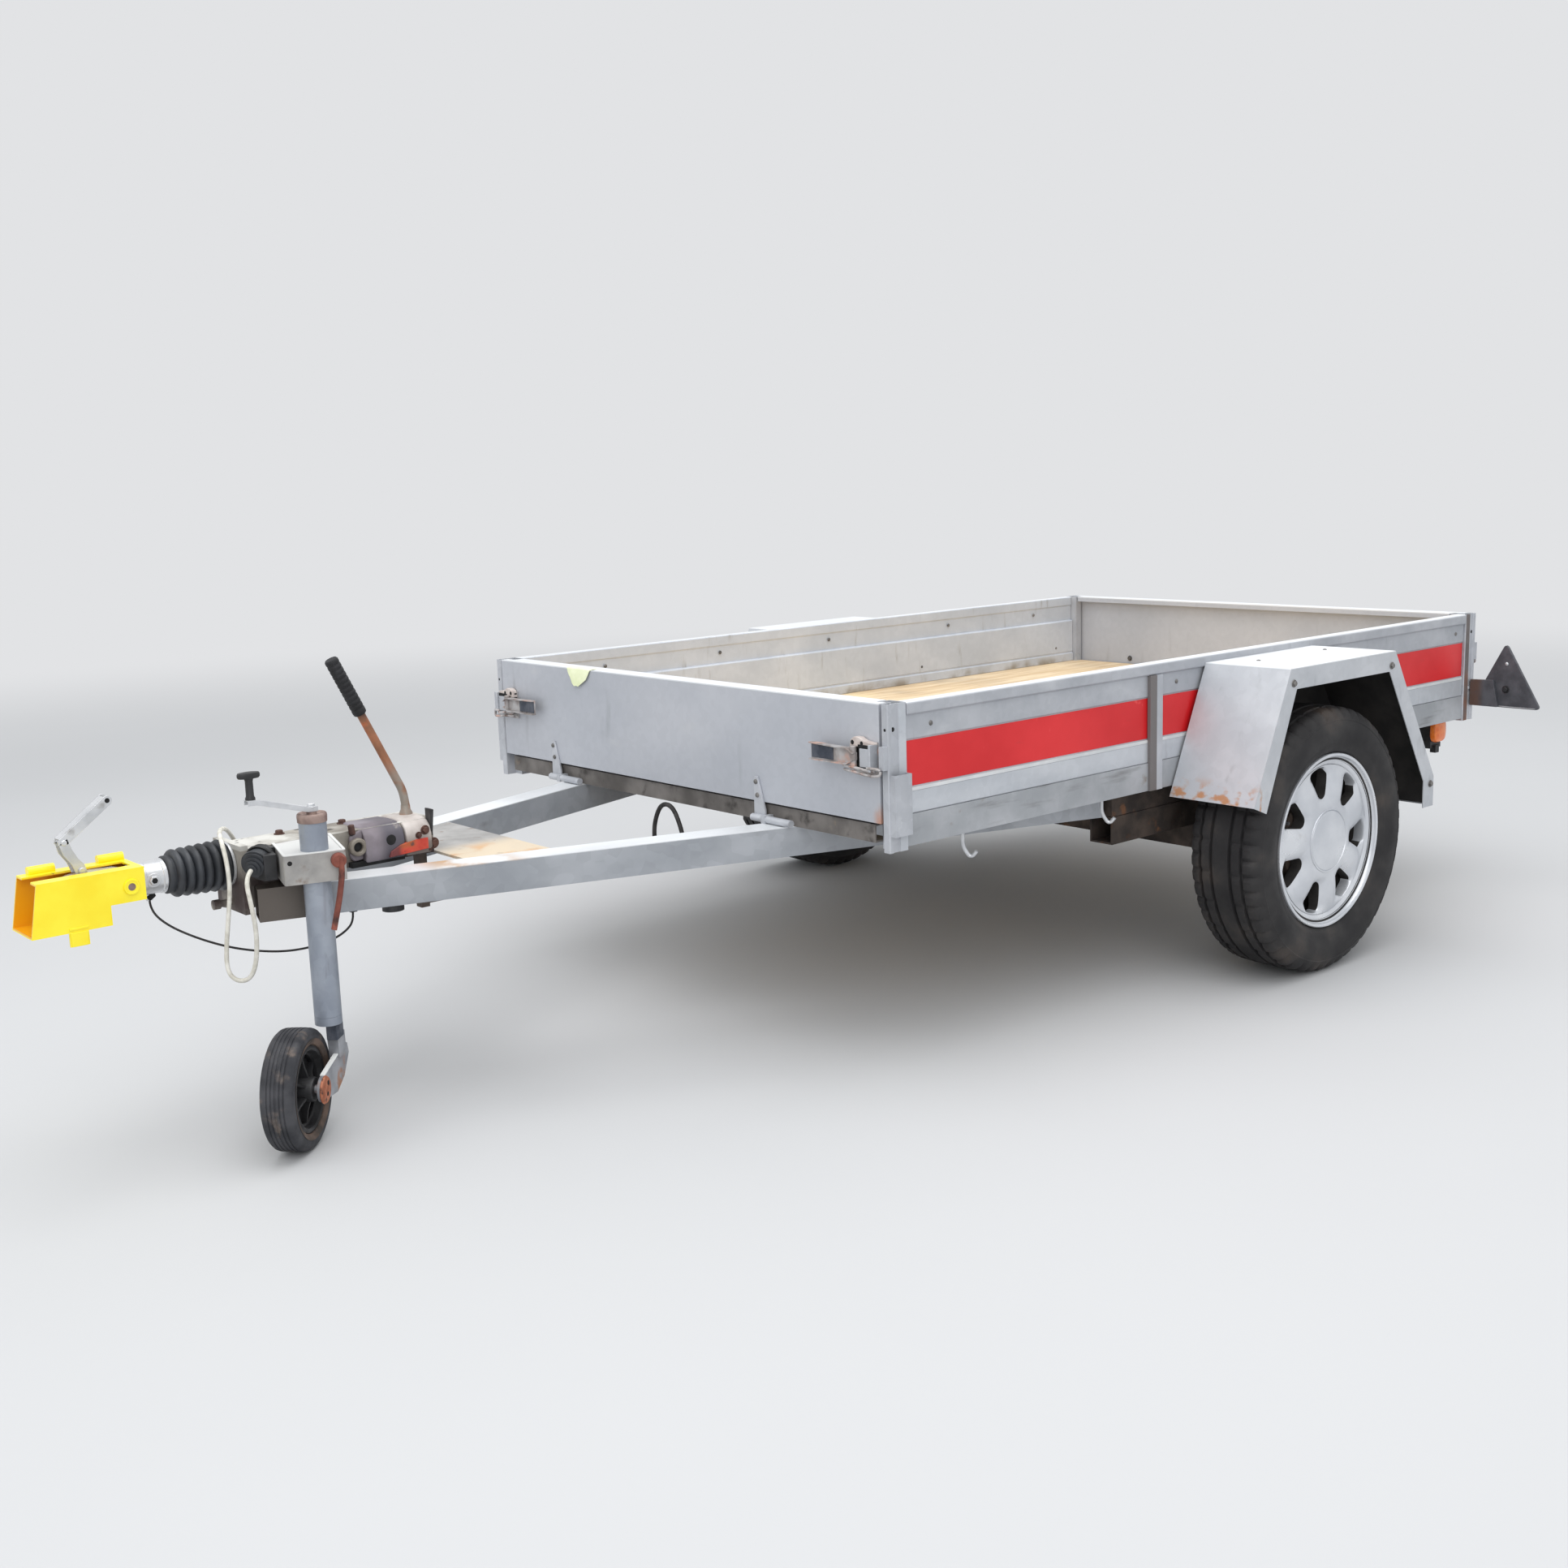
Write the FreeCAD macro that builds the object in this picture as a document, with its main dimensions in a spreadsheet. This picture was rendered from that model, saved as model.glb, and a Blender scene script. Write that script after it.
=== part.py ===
import FreeCAD, Part
import math
import os
import Sketcher
from FreeCAD import Placement, Rotation, Vector

# A braked single-axle utility trailer, standing level on its wheels and its jockey wheel.
# Frame: +X forward to the coupling, +Y to the trailer's left, +Z up, origin on the ground
# at the middle of the overall length and width. All sizes are millimetres.

# Driving sizes: name, value, what it is
SIZES = (
    ("box_length", 2150, "load box, front gate face to rear gate face"),
    ("box_width", 1350, "load box, across the top rails"),
    ("box_top", 716, "ground to the top of the sides"),
    ("fit_gap", 0.3, "gap between pieces that only rest on each other"),
    ("swing_gap", 5, "gap round what swings"),
    # floor frame
    ("post_bottom", 436, "ground to the foot of the corner posts"),
    ("side_sill_bottom", 442, "ground to the underside of the side sills"),
    ("cross_bottom", 450, "ground to the underside of the end sills and cross members"),
    ("floor_top", 514, "ground to the loading surface"),
    ("floor_thickness", 12, "plywood floor"),
    ("sill_width", 50, "side sill, outside to inside"),
    ("sill_inset", 4, "side sill face behind the top rail face"),
    ("sill_wall", 3, "steel of the sills"),
    ("end_sill_wall", 3, "steel of the end sills"),
    ("end_sill_inset", 6, "end sill face behind the gate face"),
    ("gate_foot", 490, "ground to the lower edge of the gates"),
    ("cross_depth", 40, "cross member, front to back"),
    ("cross_wall", 3, "steel of the cross members"),
    ("cross_step", 520, "spacing of the cross members"),
    # sides, posts and gates
    ("rail_height", 26, "top rail of the sides"),
    ("rail_proud", 6, "top rail beyond the side panel face"),
    ("side_thin", 18, "side panel above the inner step"),
    ("side_thick", 26, "side panel below the inner step"),
    ("side_step", 643, "ground to the inner step of the sides"),
    ("band_foot", 553, "ground to the foot of the sides' painted band"),
    ("band_top", 643, "ground to the top of the painted band"),
    ("band_depth", 2.5, "painted band behind the side panel face"),
    ("post_depth", 50, "corner post, front to back"),
    ("post_width", 45, "corner post, across"),
    ("post_lip", 18, "corner post beside the gate end"),
    ("post_rib", 22, "rib at the end of the corner post"),
    ("post_rib_proud", 3, "that rib beyond the flat of the post"),
    ("gate_thickness", 20, "gates"),
    ("gate_lip_depth", 26, "folded lip inside the top of a gate"),
    ("gate_lip_height", 14, "folded lip, height"),
    ("side_post_width", 42, "stiffener on the side panel"),
    ("side_post_back", 795, "front face to the middle of the stiffener"),
    ("side_post_proud", 8, "stiffener beyond the side panel face"),
    ("pocket_foot", 468, "ground to the foot of the stake pockets"),
    ("pocket_height", 116, "stake pocket"),
    ("pocket_width", 44, "stake pocket, along the side"),
    ("pocket_proud", 14, "stake pocket beyond the post"),
    ("pocket_wall", 2.5, "steel of the stake pocket"),
    # hinges and latches of the gates
    ("hinge_height", 458, "ground to the gate hinge axis"),
    ("hinge_proud", 10, "hinge axis beyond the gate face"),
    ("hinge_near", 305, "left hinge strap from the middle"),
    ("hinge_far", 430, "right hinge strap from the middle"),
    ("strap_width", 34, "hinge strap and knuckle"),
    ("strap_thickness", 5, "hinge strap"),
    ("strap_top", 541, "ground to the top of the hinge strap"),
    ("strap_tip", 12, "hinge strap, width at its top"),
    ("strap_tip_in", 2, "edge of the hinge strap to that of its top"),
    ("strap_shoulder", 16, "hinge axis to where the strap starts to narrow"),
    ("knuckle_radius", 7.6, "hinge knuckle"),
    ("hinge_pin_radius", 5, "hinge pin"),
    ("pin_clearance", 0.06, "running clearance at pins and axles"),
    ("lug_width", 12, "fixed hinge lug beside the knuckle"),
    ("lug_barrel", 84, "fixed barrel of the hinge"),
    ("latch_height", 616, "ground to the middle of the latches"),
    ("latch_proud", 32, "latch beyond the gate face"),
    ("latch_base_width", 66, "latch base plate, across"),
    ("latch_base_height", 74, "latch base plate, height"),
    ("latch_base_thickness", 4, "latch base plate"),
    ("latch_end", 2, "end of the gate to the latch base"),
    ("hub_inset", 8, "end of the latch base to its hub"),
    ("lever_inset", 20, "end of the latch base to the lever"),
    ("lever_drop", 8, "front of the latch to the lever"),
    ("lever_length", 165, "latch lever beyond its base"),
    ("lever_height", 34, "latch lever"),
    ("lever_thickness", 7, "latch lever"),
    ("catch_width", 12, "catch on the post"),
    ("catch_height", 44, "catch on the post"),
    ("catch_proud", 12, "catch beyond the post face"),
    # wheels and axle
    ("axle_back", 1160, "front gate face to the wheel centres"),
    ("tyre_radius", 298, "road tyre"),
    ("tyre_width", 185, "road tyre, section width"),
    ("tread_width", 140, "flat of the road tread"),
    ("shoulder_drop", 16, "tread to the shoulder of the tyre"),
    ("shoulder_in", 10, "tyre side to its shoulder"),
    ("bulge_rise", 64, "rim seat to the widest part of the tyre"),
    ("bead_radius", 178, "rim seat"),
    ("flange_radius", 195, "rim flange"),
    ("rim_width", 162, "rim, across the flanges"),
    ("wheel_out", 119, "box side to the middle plane of the wheel"),
    ("wheel_offset", 35, "middle plane of the wheel to its mounting face"),
    ("rim_wall", 10, "rim barrel"),
    ("rim_lip", 6, "thickness of the rim's outer lip"),
    ("flange_thick", 9, "thickness of a rim flange"),
    ("dish_depth", 22, "rim edge to the foot of the dish"),
    ("cap_depth", 18, "rim edge to the centre cap"),
    ("disc_thickness", 14, "rim disc at the mounting face"),
    ("cap_radius", 72, "wheel centre cap"),
    ("window_radius", 26, "opening between two spokes"),
    ("window_circle", 122, "wheel centre to the openings"),
    ("drum_radius", 112, "brake drum"),
    ("drum_width", 72, "brake drum"),
    ("stub_radius", 17, "stub axle"),
    ("swing_length", 120, "axle tube centre to the stub axle"),
    ("swing_width", 30, "swing arm, across"),
    ("swing_height", 52, "swing arm, height at the hub"),
    ("axle_size", 60, "axle tube, square"),
    ("axle_wall", 5, "axle tube wall"),
    ("axle_end", 15, "box side to the end of the axle tube, outward"),
    ("beam_height", 60, "chassis beam"),
    ("beam_width", 60, "chassis beam"),
    ("beam_wall", 4, "chassis beam wall"),
    ("beam_inset", 41, "box side to the chassis beam, inward"),
    ("beam_start", 700, "front face to the open end of the chassis beams"),
    ("beam_length", 1060, "chassis beam"),
    ("spacer_back", 60, "rear end of the chassis beams to the first spacer"),
    ("spacer_step", 320, "spacing of the beam spacers"),
    ("stub_end", 12, "stub axle's end behind the mounting face"),
    ("backplate_gap", 5, "brake drum to the back plate"),
    ("backplate_thickness", 5, "back plate"),
    ("backplate_inset", 2, "back plate smaller than the drum"),
    # mudguards
    ("guard_reach", 215, "box side to the outer face of the mudguard"),
    ("guard_top", 700, "ground to the top of the mudguard"),
    ("guard_sheet", 2, "mudguard sheet"),
    ("guard_rim", 45, "depth of the mudguard's outer strip"),
    ("guard_front_top", 190, "wheel centre to the front knee"),
    ("guard_front_foot", 316, "wheel centre to the front foot"),
    ("guard_front_height", 420, "ground to the front foot"),
    ("guard_rear_top", 222, "wheel centre to the rear knee"),
    ("guard_rear_foot", 408, "wheel centre to the tail"),
    ("guard_tail_top", 388, "ground to the top of the tail"),
    ("guard_tail_foot", 318, "ground to the foot of the tail"),
    # drawbar
    ("arm_size", 60, "drawbar arm, square tube"),
    ("arm_wall", 3, "drawbar arm wall"),
    ("arm_angle", 17.85, "drawbar arm from straight ahead, degrees"),
    ("arm_outer", 395, "middle to the arm's outer face under the front gate"),
    ("arm_rear", 690, "front gate face back to the rear end of the arms"),
    ("gusset_start", 430, "front gate face to the plate between the arms"),
    ("gusset_end", 590, "front gate face to the front of that plate"),
    ("gusset_sheet", 5, "plate between the arms"),
    ("gusset_drop", 1, "top of the arms to the plate between them"),
    ("head_start", 600, "front gate face to the rear of the overrun housing"),
    ("head_end", 985, "front gate face to the front of the overrun housing"),
    ("head_width", 96, "overrun housing"),
    ("head_top", 518, "ground to the top of the overrun housing"),
    ("flange_width", 116, "front flange of the overrun housing"),
    ("flange_thickness", 14, "front flange of the overrun housing"),
    ("flange_foot", 402, "ground to the foot of the front flange"),
    ("shaft_height", 487, "ground to the coupling shaft"),
    ("shaft_radius", 24, "coupling shaft"),
    ("gaiter_radius", 46, "gaiter over its pleats"),
    ("gaiter_root", 36, "gaiter between its pleats"),
    ("gaiter_length", 108, "gaiter"),
    ("gaiter_pleats", 6, "pleats of the gaiter"),
    ("neck_radius", 28, "neck of the coupling"),
    ("neck_length", 70, "neck of the coupling"),
    ("coupler_width", 62, "coupling head"),
    ("coupler_length", 170, "coupling head"),
    ("coupler_clear", 8, "lock box floor to the underside of the coupling head"),
    ("coupler_back", 12, "tip of the lock box to the front of the coupling head"),
    ("coupler_rake", 8, "slope of the coupling head's front"),
    ("socket_back", 42, "front of the coupling head to the ball's centre"),
    ("socket_rise", 8, "underside of the coupling head to the ball's centre"),
    ("handle_back", 105, "tip of the lock box to the foot of the handle"),
    ("handle_knee", 33, "handle foot to its knee, forward"),
    ("handle_knee_rise", 64, "handle foot to its knee, up"),
    ("handle_tip", 60, "handle foot to its tip, back"),
    ("handle_tip_rise", 126, "handle foot to its tip, up"),
    ("handle_thickness", 13, "coupling handle, across its bend"),
    ("handle_hole_back", 9, "padlock hole from the handle's tip"),
    ("handle_width", 26, "coupling handle"),
    ("handle_hole", 8, "padlock hole in the coupling handle, across"),
    ("socket_radius", 25.5, "ball socket of the coupling head"),
    ("lock_length", 193, "lock box"),
    ("lock_width", 100, "lock box"),
    ("lock_height", 91, "lock box"),
    ("lock_drop", 59, "coupling shaft's middle to the underside of the lock box"),
    ("lock_rear_rise", 34, "underside of the lock box to that of its rear part"),
    ("lock_step", 61, "length of the lock box's rear part"),
    ("lock_wall", 4, "steel of the lock box"),
    ("lock_slot", 44, "slot in the lock box top"),
    ("lock_rake", 16, "slope of the lock box's front edge"),
    ("slot_back", 12, "rear of the lock box to its slot"),
    ("lock_tab", 24, "tab below the lock box"),
    ("lock_tab_length", 32, "tab below the lock box"),
    ("lock_tab_back", 60, "tip of the lock box to the tab"),
    ("lock_bolt_radius", 11, "round lock of the lock box"),
    ("lock_bolt_in", 24, "rear of the lock box to the round lock"),
    ("lock_bolt_proud", 3, "round lock beyond the lock box side"),
    ("knuckle_length", 44, "barrels on the lock box top"),
    ("knuckle_in", 2, "rear of the lock box to the first barrel"),
    ("knuckle_step", 116, "spacing of the barrels"),
    ("barrel_radius", 8, "barrels on the lock box top"),
    # handbrake
    ("tower_start", 612, "front gate face to the rear of the handbrake housing"),
    ("tower_end", 777, "front gate face to the front of the handbrake housing"),
    ("tower_rise", 20, "handbrake housing above the overrun housing"),
    ("plate_rise", 4, "handbrake side plate above the overrun housing's foot"),
    ("plate_thickness", 18.5, "handbrake side plate"),
    ("cap_back", 60, "front of the handbrake housing to its cap"),
    ("lever_foot_x", 628, "front gate face to the handbrake pivot"),
    ("lever_lean", 4, "handbrake pivot to the lever's bend, forward"),
    ("lever_lift", 1.4, "handbrake cap to the lever's foot"),
    ("lever_bend", 568, "ground to the lever's bend"),
    ("lever_tip_x", 758, "front gate face to the lever's tip"),
    ("lever_tip", 830, "ground to the lever's tip"),
    ("lever_radius", 8, "handbrake lever rod"),
    ("grip_length", 118, "handbrake grip"),
    ("grip_radius", 13, "handbrake grip"),
    ("rod_radius", 5, "brake rod"),
    ("rod_drop", 105, "overrun housing's foot to the brake rod"),
    ("yoke_width", 20, "yoke at the front of the brake rod"),
    ("yoke_length", 14, "yoke, under the overrun housing"),
    ("yoke_back", 4, "yoke behind the overrun housing"),
    ("yoke_drop", 9, "yoke below the brake rod"),
    ("anchor_width", 32, "brake rod's bracket on the axle"),
    ("anchor_thickness", 6, "brake rod's bracket on the axle"),
    ("anchor_rise", 8, "bracket above the brake rod"),
    ("buffer_radius", 20, "round foot under a drawbar arm"),
    ("buffer_height", 14, "round foot under a drawbar arm"),
    ("buffer_x", 735, "front gate face to the round feet"),
    ("stub_knob_radius", 9, "knob on the stub below the gaiter"),
    ("stub_radius_out", 6.3, "stub below the gaiter"),
    ("stub_reach", 22, "stub below the gaiter, beyond the flange"),
    ("stub_knob_length", 12, "knob on the stub"),
    ("stub_rise", 15, "foot of the flange to the stub"),
    ("flange_rise", 8, "front flange above the overrun housing"),
    ("eye_back", 32, "gaiter to the cable eye under the neck"),
    ("eye_length", 10, "cable eye under the neck"),
    ("eye_drop", 12, "cable eye below the neck"),
    ("eye_thickness", 6, "cable eye"),
    # jockey wheel
    ("jockey_x", 892, "front gate face to the jockey tube"),
    ("jockey_out", 156, "middle to the jockey tube"),
    ("jockey_radius", 24, "jockey outer tube"),
    ("jockey_wall", 3, "jockey outer tube wall"),
    ("jockey_foot", 220, "ground to the foot of the outer tube"),
    ("jockey_top", 582, "ground to the top of the outer tube"),
    ("inner_rise", 90, "inner tube inside the outer tube"),
    ("clamp_foot", 461, "ground to the foot of the clamp"),
    ("clamp_top", 512, "ground to the top of the clamp"),
    ("clamp_wall", 6, "clamp round the tube"),
    ("clamp_length", 76, "clamp, front to back"),
    ("handle_drop", 84, "clamp handle, below its screw"),
    ("crank_rise", 14, "crank arm above the tube"),
    ("crank_reach", 116, "crank arm"),
    ("crank_lift", 26, "crank arm, from its hub up to its grip"),
    ("crank_width", 16, "crank arm"),
    ("crank_thickness", 6, "crank arm"),
    ("knob_height", 44, "crank grip"),
    ("knob_radius", 8, "crank grip stem"),
    ("knob_bar", 38, "crank grip bar"),
    ("caster_turn", 45, "jockey wheel's heading from straight ahead, degrees"),
    ("caster_trail", 72, "jockey tube to the wheel centre"),
    ("caster_radius", 107.5, "jockey tyre"),
    ("caster_width", 60, "jockey tyre"),
    ("caster_bead", 76, "jockey hub"),
    ("caster_axle", 8, "jockey axle"),
    ("fork_wall", 5, "fork plate under the tube's middle"),
    ("fork_drop", 5, "foot of the outer tube to the fork's crown"),
    ("fork_foot", 15, "wheel centre to the foot of the fork plate, each way"),
    ("fork_low", 16, "wheel centre down to the foot of the fork plate"),
    ("fork_bend", 10, "wheel centre up to the fork plate's bend"),
    ("fork_shoulder", 20, "middle of the tube to the shoulder of the fork plate"),
    ("fork_root", 30, "crown to the root of the fork plate"),
    ("fork_edge_width", 6, "folded edge of the fork plate, sheet"),
    ("fork_flange", 16, "folded edge of the fork plate, away from the tyre"),
    ("fork_gap", 8, "jockey tyre to the fork plate"),
    # lamps and reflectors
    ("lamp_length", 190, "rear lamp, across"),
    ("lamp_height", 86, "rear lamp"),
    ("lamp_depth", 52, "rear lamp"),
    ("lamp_inset", 60, "rear face to the rear lamp's lens"),
    ("triangle_side", 180, "reflector triangle"),
    ("triangle_foot", 474, "ground to the reflector triangle"),
    ("triangle_out", 93, "box side to the triangle's middle"),
    ("triangle_thickness", 9, "reflector triangle"),
    ("plate_width", 330, "blank number plate"),
    ("plate_height", 60, "blank number plate"),
    ("plate_inset", 30, "rear face to the number plate"),
    # cables and hooks
    ("cable_radius", 4, "seven-wire trailer cable"),
    ("thin_cable_radius", 2, "breakaway cable"),
    ("conduit_radius", 5, "wiring conduit under the front sill"),
    ("gland_radius", 9, "cable gland"),
    ("gland_length", 11.95, "cable gland on a drawbar arm"),
    ("holder_radius", 22, "parking holder of the plug"),
    ("holder_length", 16, "parking holder of the plug"),
    ("plug_radius", 20, "plug"),
    ("plug_length", 20, "plug"),
    ("relief_length", 18, "strain relief of the plug"),
    ("hook_radius", 4, "tie hook"),
    ("hook_front", 225, "front face to the first tie hook"),
    ("hook_step", 425, "spacing of the tie hooks"),
    ("hook_shank", 34, "tie hook, straight part"),
    ("hook_drop", 56, "tie hook, down to its bend"),
    ("hook_tip", 42, "tie hook, down to its tip"),
    ("hook_bend_out", 12, "tie hook, out to its bend"),
    ("hook_tip_out", 22, "tie hook, out to its tip"),
    ("hook_bend_back", 10, "tie hook, back to its bend"),
    ("hook_tip_back", 16, "tie hook, back to its tip"),
    ("bracket_size", 24, "bracket of the plug holder"),
    ("bracket_back", 18, "plug holder's foot to the back of its bracket"),
    ("bracket_overlap", 10, "bracket under the plug holder"),
    ("clip_size", 12, "clip of the breakaway cable"),
    ("relief_neck", 2, "strain relief round the cable"),
    ("bracket_depth", 14, "bracket of a reflector triangle"),
    ("bracket_height", 46, "bracket of a reflector triangle"),
    ("bracket_past", 10, "bracket beyond the triangle's middle"),
    ("plate_sheet", 4, "blank number plate"),
)

SPOKES = 7


class Measure:
    """A length that carries its number and the sheet expression it comes from."""

    def __init__(self, number, text):
        self.number = float(number)
        self.text = text

    def __add__(self, other):
        other = measured(other)
        return Measure(self.number + other.number, f"({self.text} + {other.text})")

    def __sub__(self, other):
        other = measured(other)
        return Measure(self.number - other.number, f"({self.text} - {other.text})")

    def __mul__(self, factor):
        factor = measured(factor)
        return Measure(self.number * factor.number, f"({self.text} * {factor.text})")

    def __truediv__(self, factor):
        factor = measured(factor)
        return Measure(self.number / factor.number, f"({self.text} / {factor.text})")

    def __neg__(self):
        return Measure(-self.number, f"(0 - {self.text})")

    def __radd__(self, other):
        return measured(other) + self

    def __rsub__(self, other):
        return measured(other) - self

    def __rmul__(self, other):
        return measured(other) * self


def measured(value):
    if isinstance(value, Measure):
        return value
    return Measure(value, f"({value})")


doc = FreeCAD.newDocument("Trailer")
sheet = doc.addObject("Spreadsheet::Sheet", "Sizes")
for row, (name, value, meaning) in enumerate(SIZES, start=1):
    sheet.set(f"A{row}", meaning)
    sheet.set(f"B{row}", str(value))
    sheet.setAlias(f"B{row}", name)
doc.recompute()


class Named:
    """The sheet's sizes by name, as Measures."""

    def __getattr__(self, name):
        return Measure(float(sheet.get(name)), f"Sizes.{name}")


s = Named()
nodes = []


# Places that several pieces share

nose_reach = s.head_end + s.gaiter_length + s.neck_length + s.coupler_length + s.coupler_back
front = (s.box_length + s.latch_proud - nose_reach) / 2
rear = front - s.box_length
half = s.box_width / 2
panel_face = half - s.rail_proud
sill_face = half - s.sill_inset
floor_under = s.floor_top - s.floor_thickness
gate_half = half - s.post_lip - s.swing_gap
wheel_x = front - s.axle_back
wheel_y = half + s.wheel_out
mount_face = wheel_y + s.wheel_offset
arm_foot = s.cross_bottom - s.arm_size
beam_foot = arm_foot - s.beam_height
jockey_x = front + s.jockey_x
flange_rear = front + s.head_end - s.flange_thickness
stub_height = s.flange_foot + s.stub_rise
rod_height = s.cross_bottom - s.rod_drop
lock_foot = s.shaft_height - s.lock_drop
lock_top = lock_foot + s.lock_height
lock_rear_foot = lock_foot + s.lock_rear_rise
coupler_foot = lock_foot + s.lock_wall + s.coupler_clear
gaiter_front = front + s.head_end + s.gaiter_length
coupler_top = lock_top - s.lock_wall - s.fit_gap
arm_reach = s.head_end - s.flange_thickness - s.fit_gap + s.arm_rear
ZERO = measured(0)
SIDES = (("left", 1), ("right", -1))
ENDS = (("front", 1), ("rear", -1))
HINGES = (("hinge_near", 1), ("hinge_far", -1))


# Making of pieces

def bind(item, path, value):
    item.setExpression(path, measured(value).text)


def put(item, x=None, y=None, z=None):
    for axis, value in (("x", x), ("y", y), ("z", z)):
        if value is not None:
            bind(item, "Placement.Base." + axis, value)
    return item


def ordered(low, high):
    low, high = measured(low), measured(high)
    return (low, high) if low.number <= high.number else (high, low)


def block(label, x, y, z):
    item = doc.addObject("Part::Box", label)
    (x0, x1), (y0, y1), (z0, z1) = ordered(*x), ordered(*y), ordered(*z)
    bind(item, "Length", x1 - x0)
    bind(item, "Width", y1 - y0)
    bind(item, "Height", z1 - z0)
    return put(item, x0, y0, z0)


TURNS = {
    "x": Rotation(Vector(0, 1, 0), 90),
    "y": Rotation(Vector(1, 0, 0), -90),
    "z": Rotation(),
}


def rod(label, along, radius, span, first, second):
    """A cylinder along an axis: span on that axis, then its centre on the other two."""
    item = doc.addObject("Part::Cylinder", label)
    low, high = ordered(*span)
    bind(item, "Radius", radius)
    bind(item, "Height", high - low)
    item.Placement = Placement(Vector(), TURNS[along])
    others = {"x": ("y", "z"), "y": ("x", "z"), "z": ("x", "y")}[along]
    return put(item, **{along: low, others[0]: first, others[1]: second})


def cut(label, base, *tools):
    for number, tool in enumerate(tools):
        last = number == len(tools) - 1
        item = doc.addObject("Part::Cut", label if last else f"{label}_cut{number}")
        item.Base = base
        item.Tool = tool
        base = item
    return base


def join(label, *pieces):
    item = doc.addObject("Part::MultiFuse", label)
    item.Shapes = list(pieces)
    return item


def group(label, *pieces):
    """Like pieces on one body that don't touch, kept as separate solids of one node."""
    item = doc.addObject("Part::Compound", label)
    item.Links = list(pieces)
    return item


def new_sketch(body, plane):
    sketch = body.newObject("Sketcher::SketchObject", body.Name + "_sketch")
    origin = next(f for f in body.Origin.OriginFeatures if f.Role == plane + "_Plane")
    sketch.AttachmentSupport = (origin, "")
    sketch.MapMode = "FlatFace"
    return sketch


def outline(sketch, points):
    """A closed polygon, with each corner held by the sheet."""
    corners = [(measured(a), measured(b)) for a, b in points]
    spots = [Vector(a.number, b.number, 0) for a, b in corners]
    for number, spot in enumerate(spots):
        sketch.addGeometry(Part.LineSegment(spot, spots[(number + 1) % len(spots)]), False)
    for number in range(len(spots)):
        following = (number + 1) % len(spots)
        sketch.addConstraint(Sketcher.Constraint("Coincident", number, 2, following, 1))
    for number, corner in enumerate(corners):
        for kind, value in zip(("DistanceX", "DistanceY"), corner):
            index = sketch.addConstraint(Sketcher.Constraint(kind, -1, 1, number, 1, value.number))
            sketch.setExpression(f"Constraints[{index}]", value.text)


def profile(label, plane, points, span):
    """A polygon in the XY, XZ or YZ plane, padded over a span of the third axis."""
    body = doc.addObject("PartDesign::Body", label)
    sketch = new_sketch(body, plane)
    outline(sketch, points)
    low, high = ordered(*span)
    pad = body.newObject("PartDesign::Pad", label + "_pad")
    pad.Profile = sketch
    bind(pad, "Length", high - low)
    axis, start = {"XY": ("z", low), "XZ": ("y", high), "YZ": ("x", low)}[plane]
    return put(body, **{axis: start})


def turned(label, points, x, y, z, turn=None):
    """A polygon of (radius, place along Y) turned about the Y direction."""
    body = doc.addObject("PartDesign::Body", label)
    sketch = new_sketch(body, "XY")
    outline(sketch, points)
    spin = body.newObject("PartDesign::Revolution", label + "_turn")
    spin.Profile = sketch
    spin.ReferenceAxis = (sketch, ["V_Axis"])
    spin.Angle = 360
    if turn is not None:
        body.Placement = Placement(Vector(), turn)
    return put(body, x, y, z)


def keep(item):
    nodes.append(item)
    return item


# Routes of round rods and cables: straight runs joined by tangent arcs

def route(points, share=0.45):
    """A wire through the points, each corner rounded by an arc, and the arcs' radii."""
    spots = [Vector(*point) for point in points]
    edges, radii, start = [], [], spots[0]
    for before, corner, after in zip(spots, spots[1:], spots[2:]):
        arriving, leaving = corner - before, after - corner
        trim = share * min(arriving.Length, leaving.Length)
        arriving.normalize()
        leaving.normalize()
        half_turn = arriving.getAngle(leaving) / 2
        radius = trim / math.tan(half_turn)
        inward = (leaving - arriving).normalize()
        centre = corner + inward * (radius / math.cos(half_turn))
        first, last = corner - arriving * trim, corner + leaving * trim
        edges.append(Part.LineSegment(start, first).toShape())
        edges.append(Part.Arc(first, centre - inward * radius, last).toShape())
        radii.append(radius)
        start = last
    edges.append(Part.LineSegment(start, spots[-1]).toShape())
    return Part.Wire(edges), radii


def along_route(label, points, radius, share=0.45):
    """A round solid that follows a route."""
    wire, radii = route(points, share)
    first = wire.Edges[0]
    direction = first.tangentAt(first.FirstParameter)
    circle = Part.Wire(Part.makeCircle(radius, Vector(*points[0]), direction))
    item = doc.addObject("Part::Feature", label)
    item.Shape = wire.makePipeShell([circle], True, False)
    expected = math.pi * radius * radius * wire.Length
    print(label, "radii", [round(r) for r in radii], "length", round(wire.Length),
          "volume ratio", round(item.Shape.Volume / expected, 3))
    return item


# Floor frame

def hollow_bar(label, along, x, y, z, wall):
    """A rectangular tube, open at both ends along one axis."""
    spans = {"x": ordered(*x), "y": ordered(*y), "z": ordered(*z)}
    room = {axis: span if axis == along else (span[0] + wall, span[1] - wall)
            for axis, span in spans.items()}
    blank = block(label + "_blank", *spans.values())
    return cut(label, blank, block(label + "_room", *room.values()))


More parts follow.
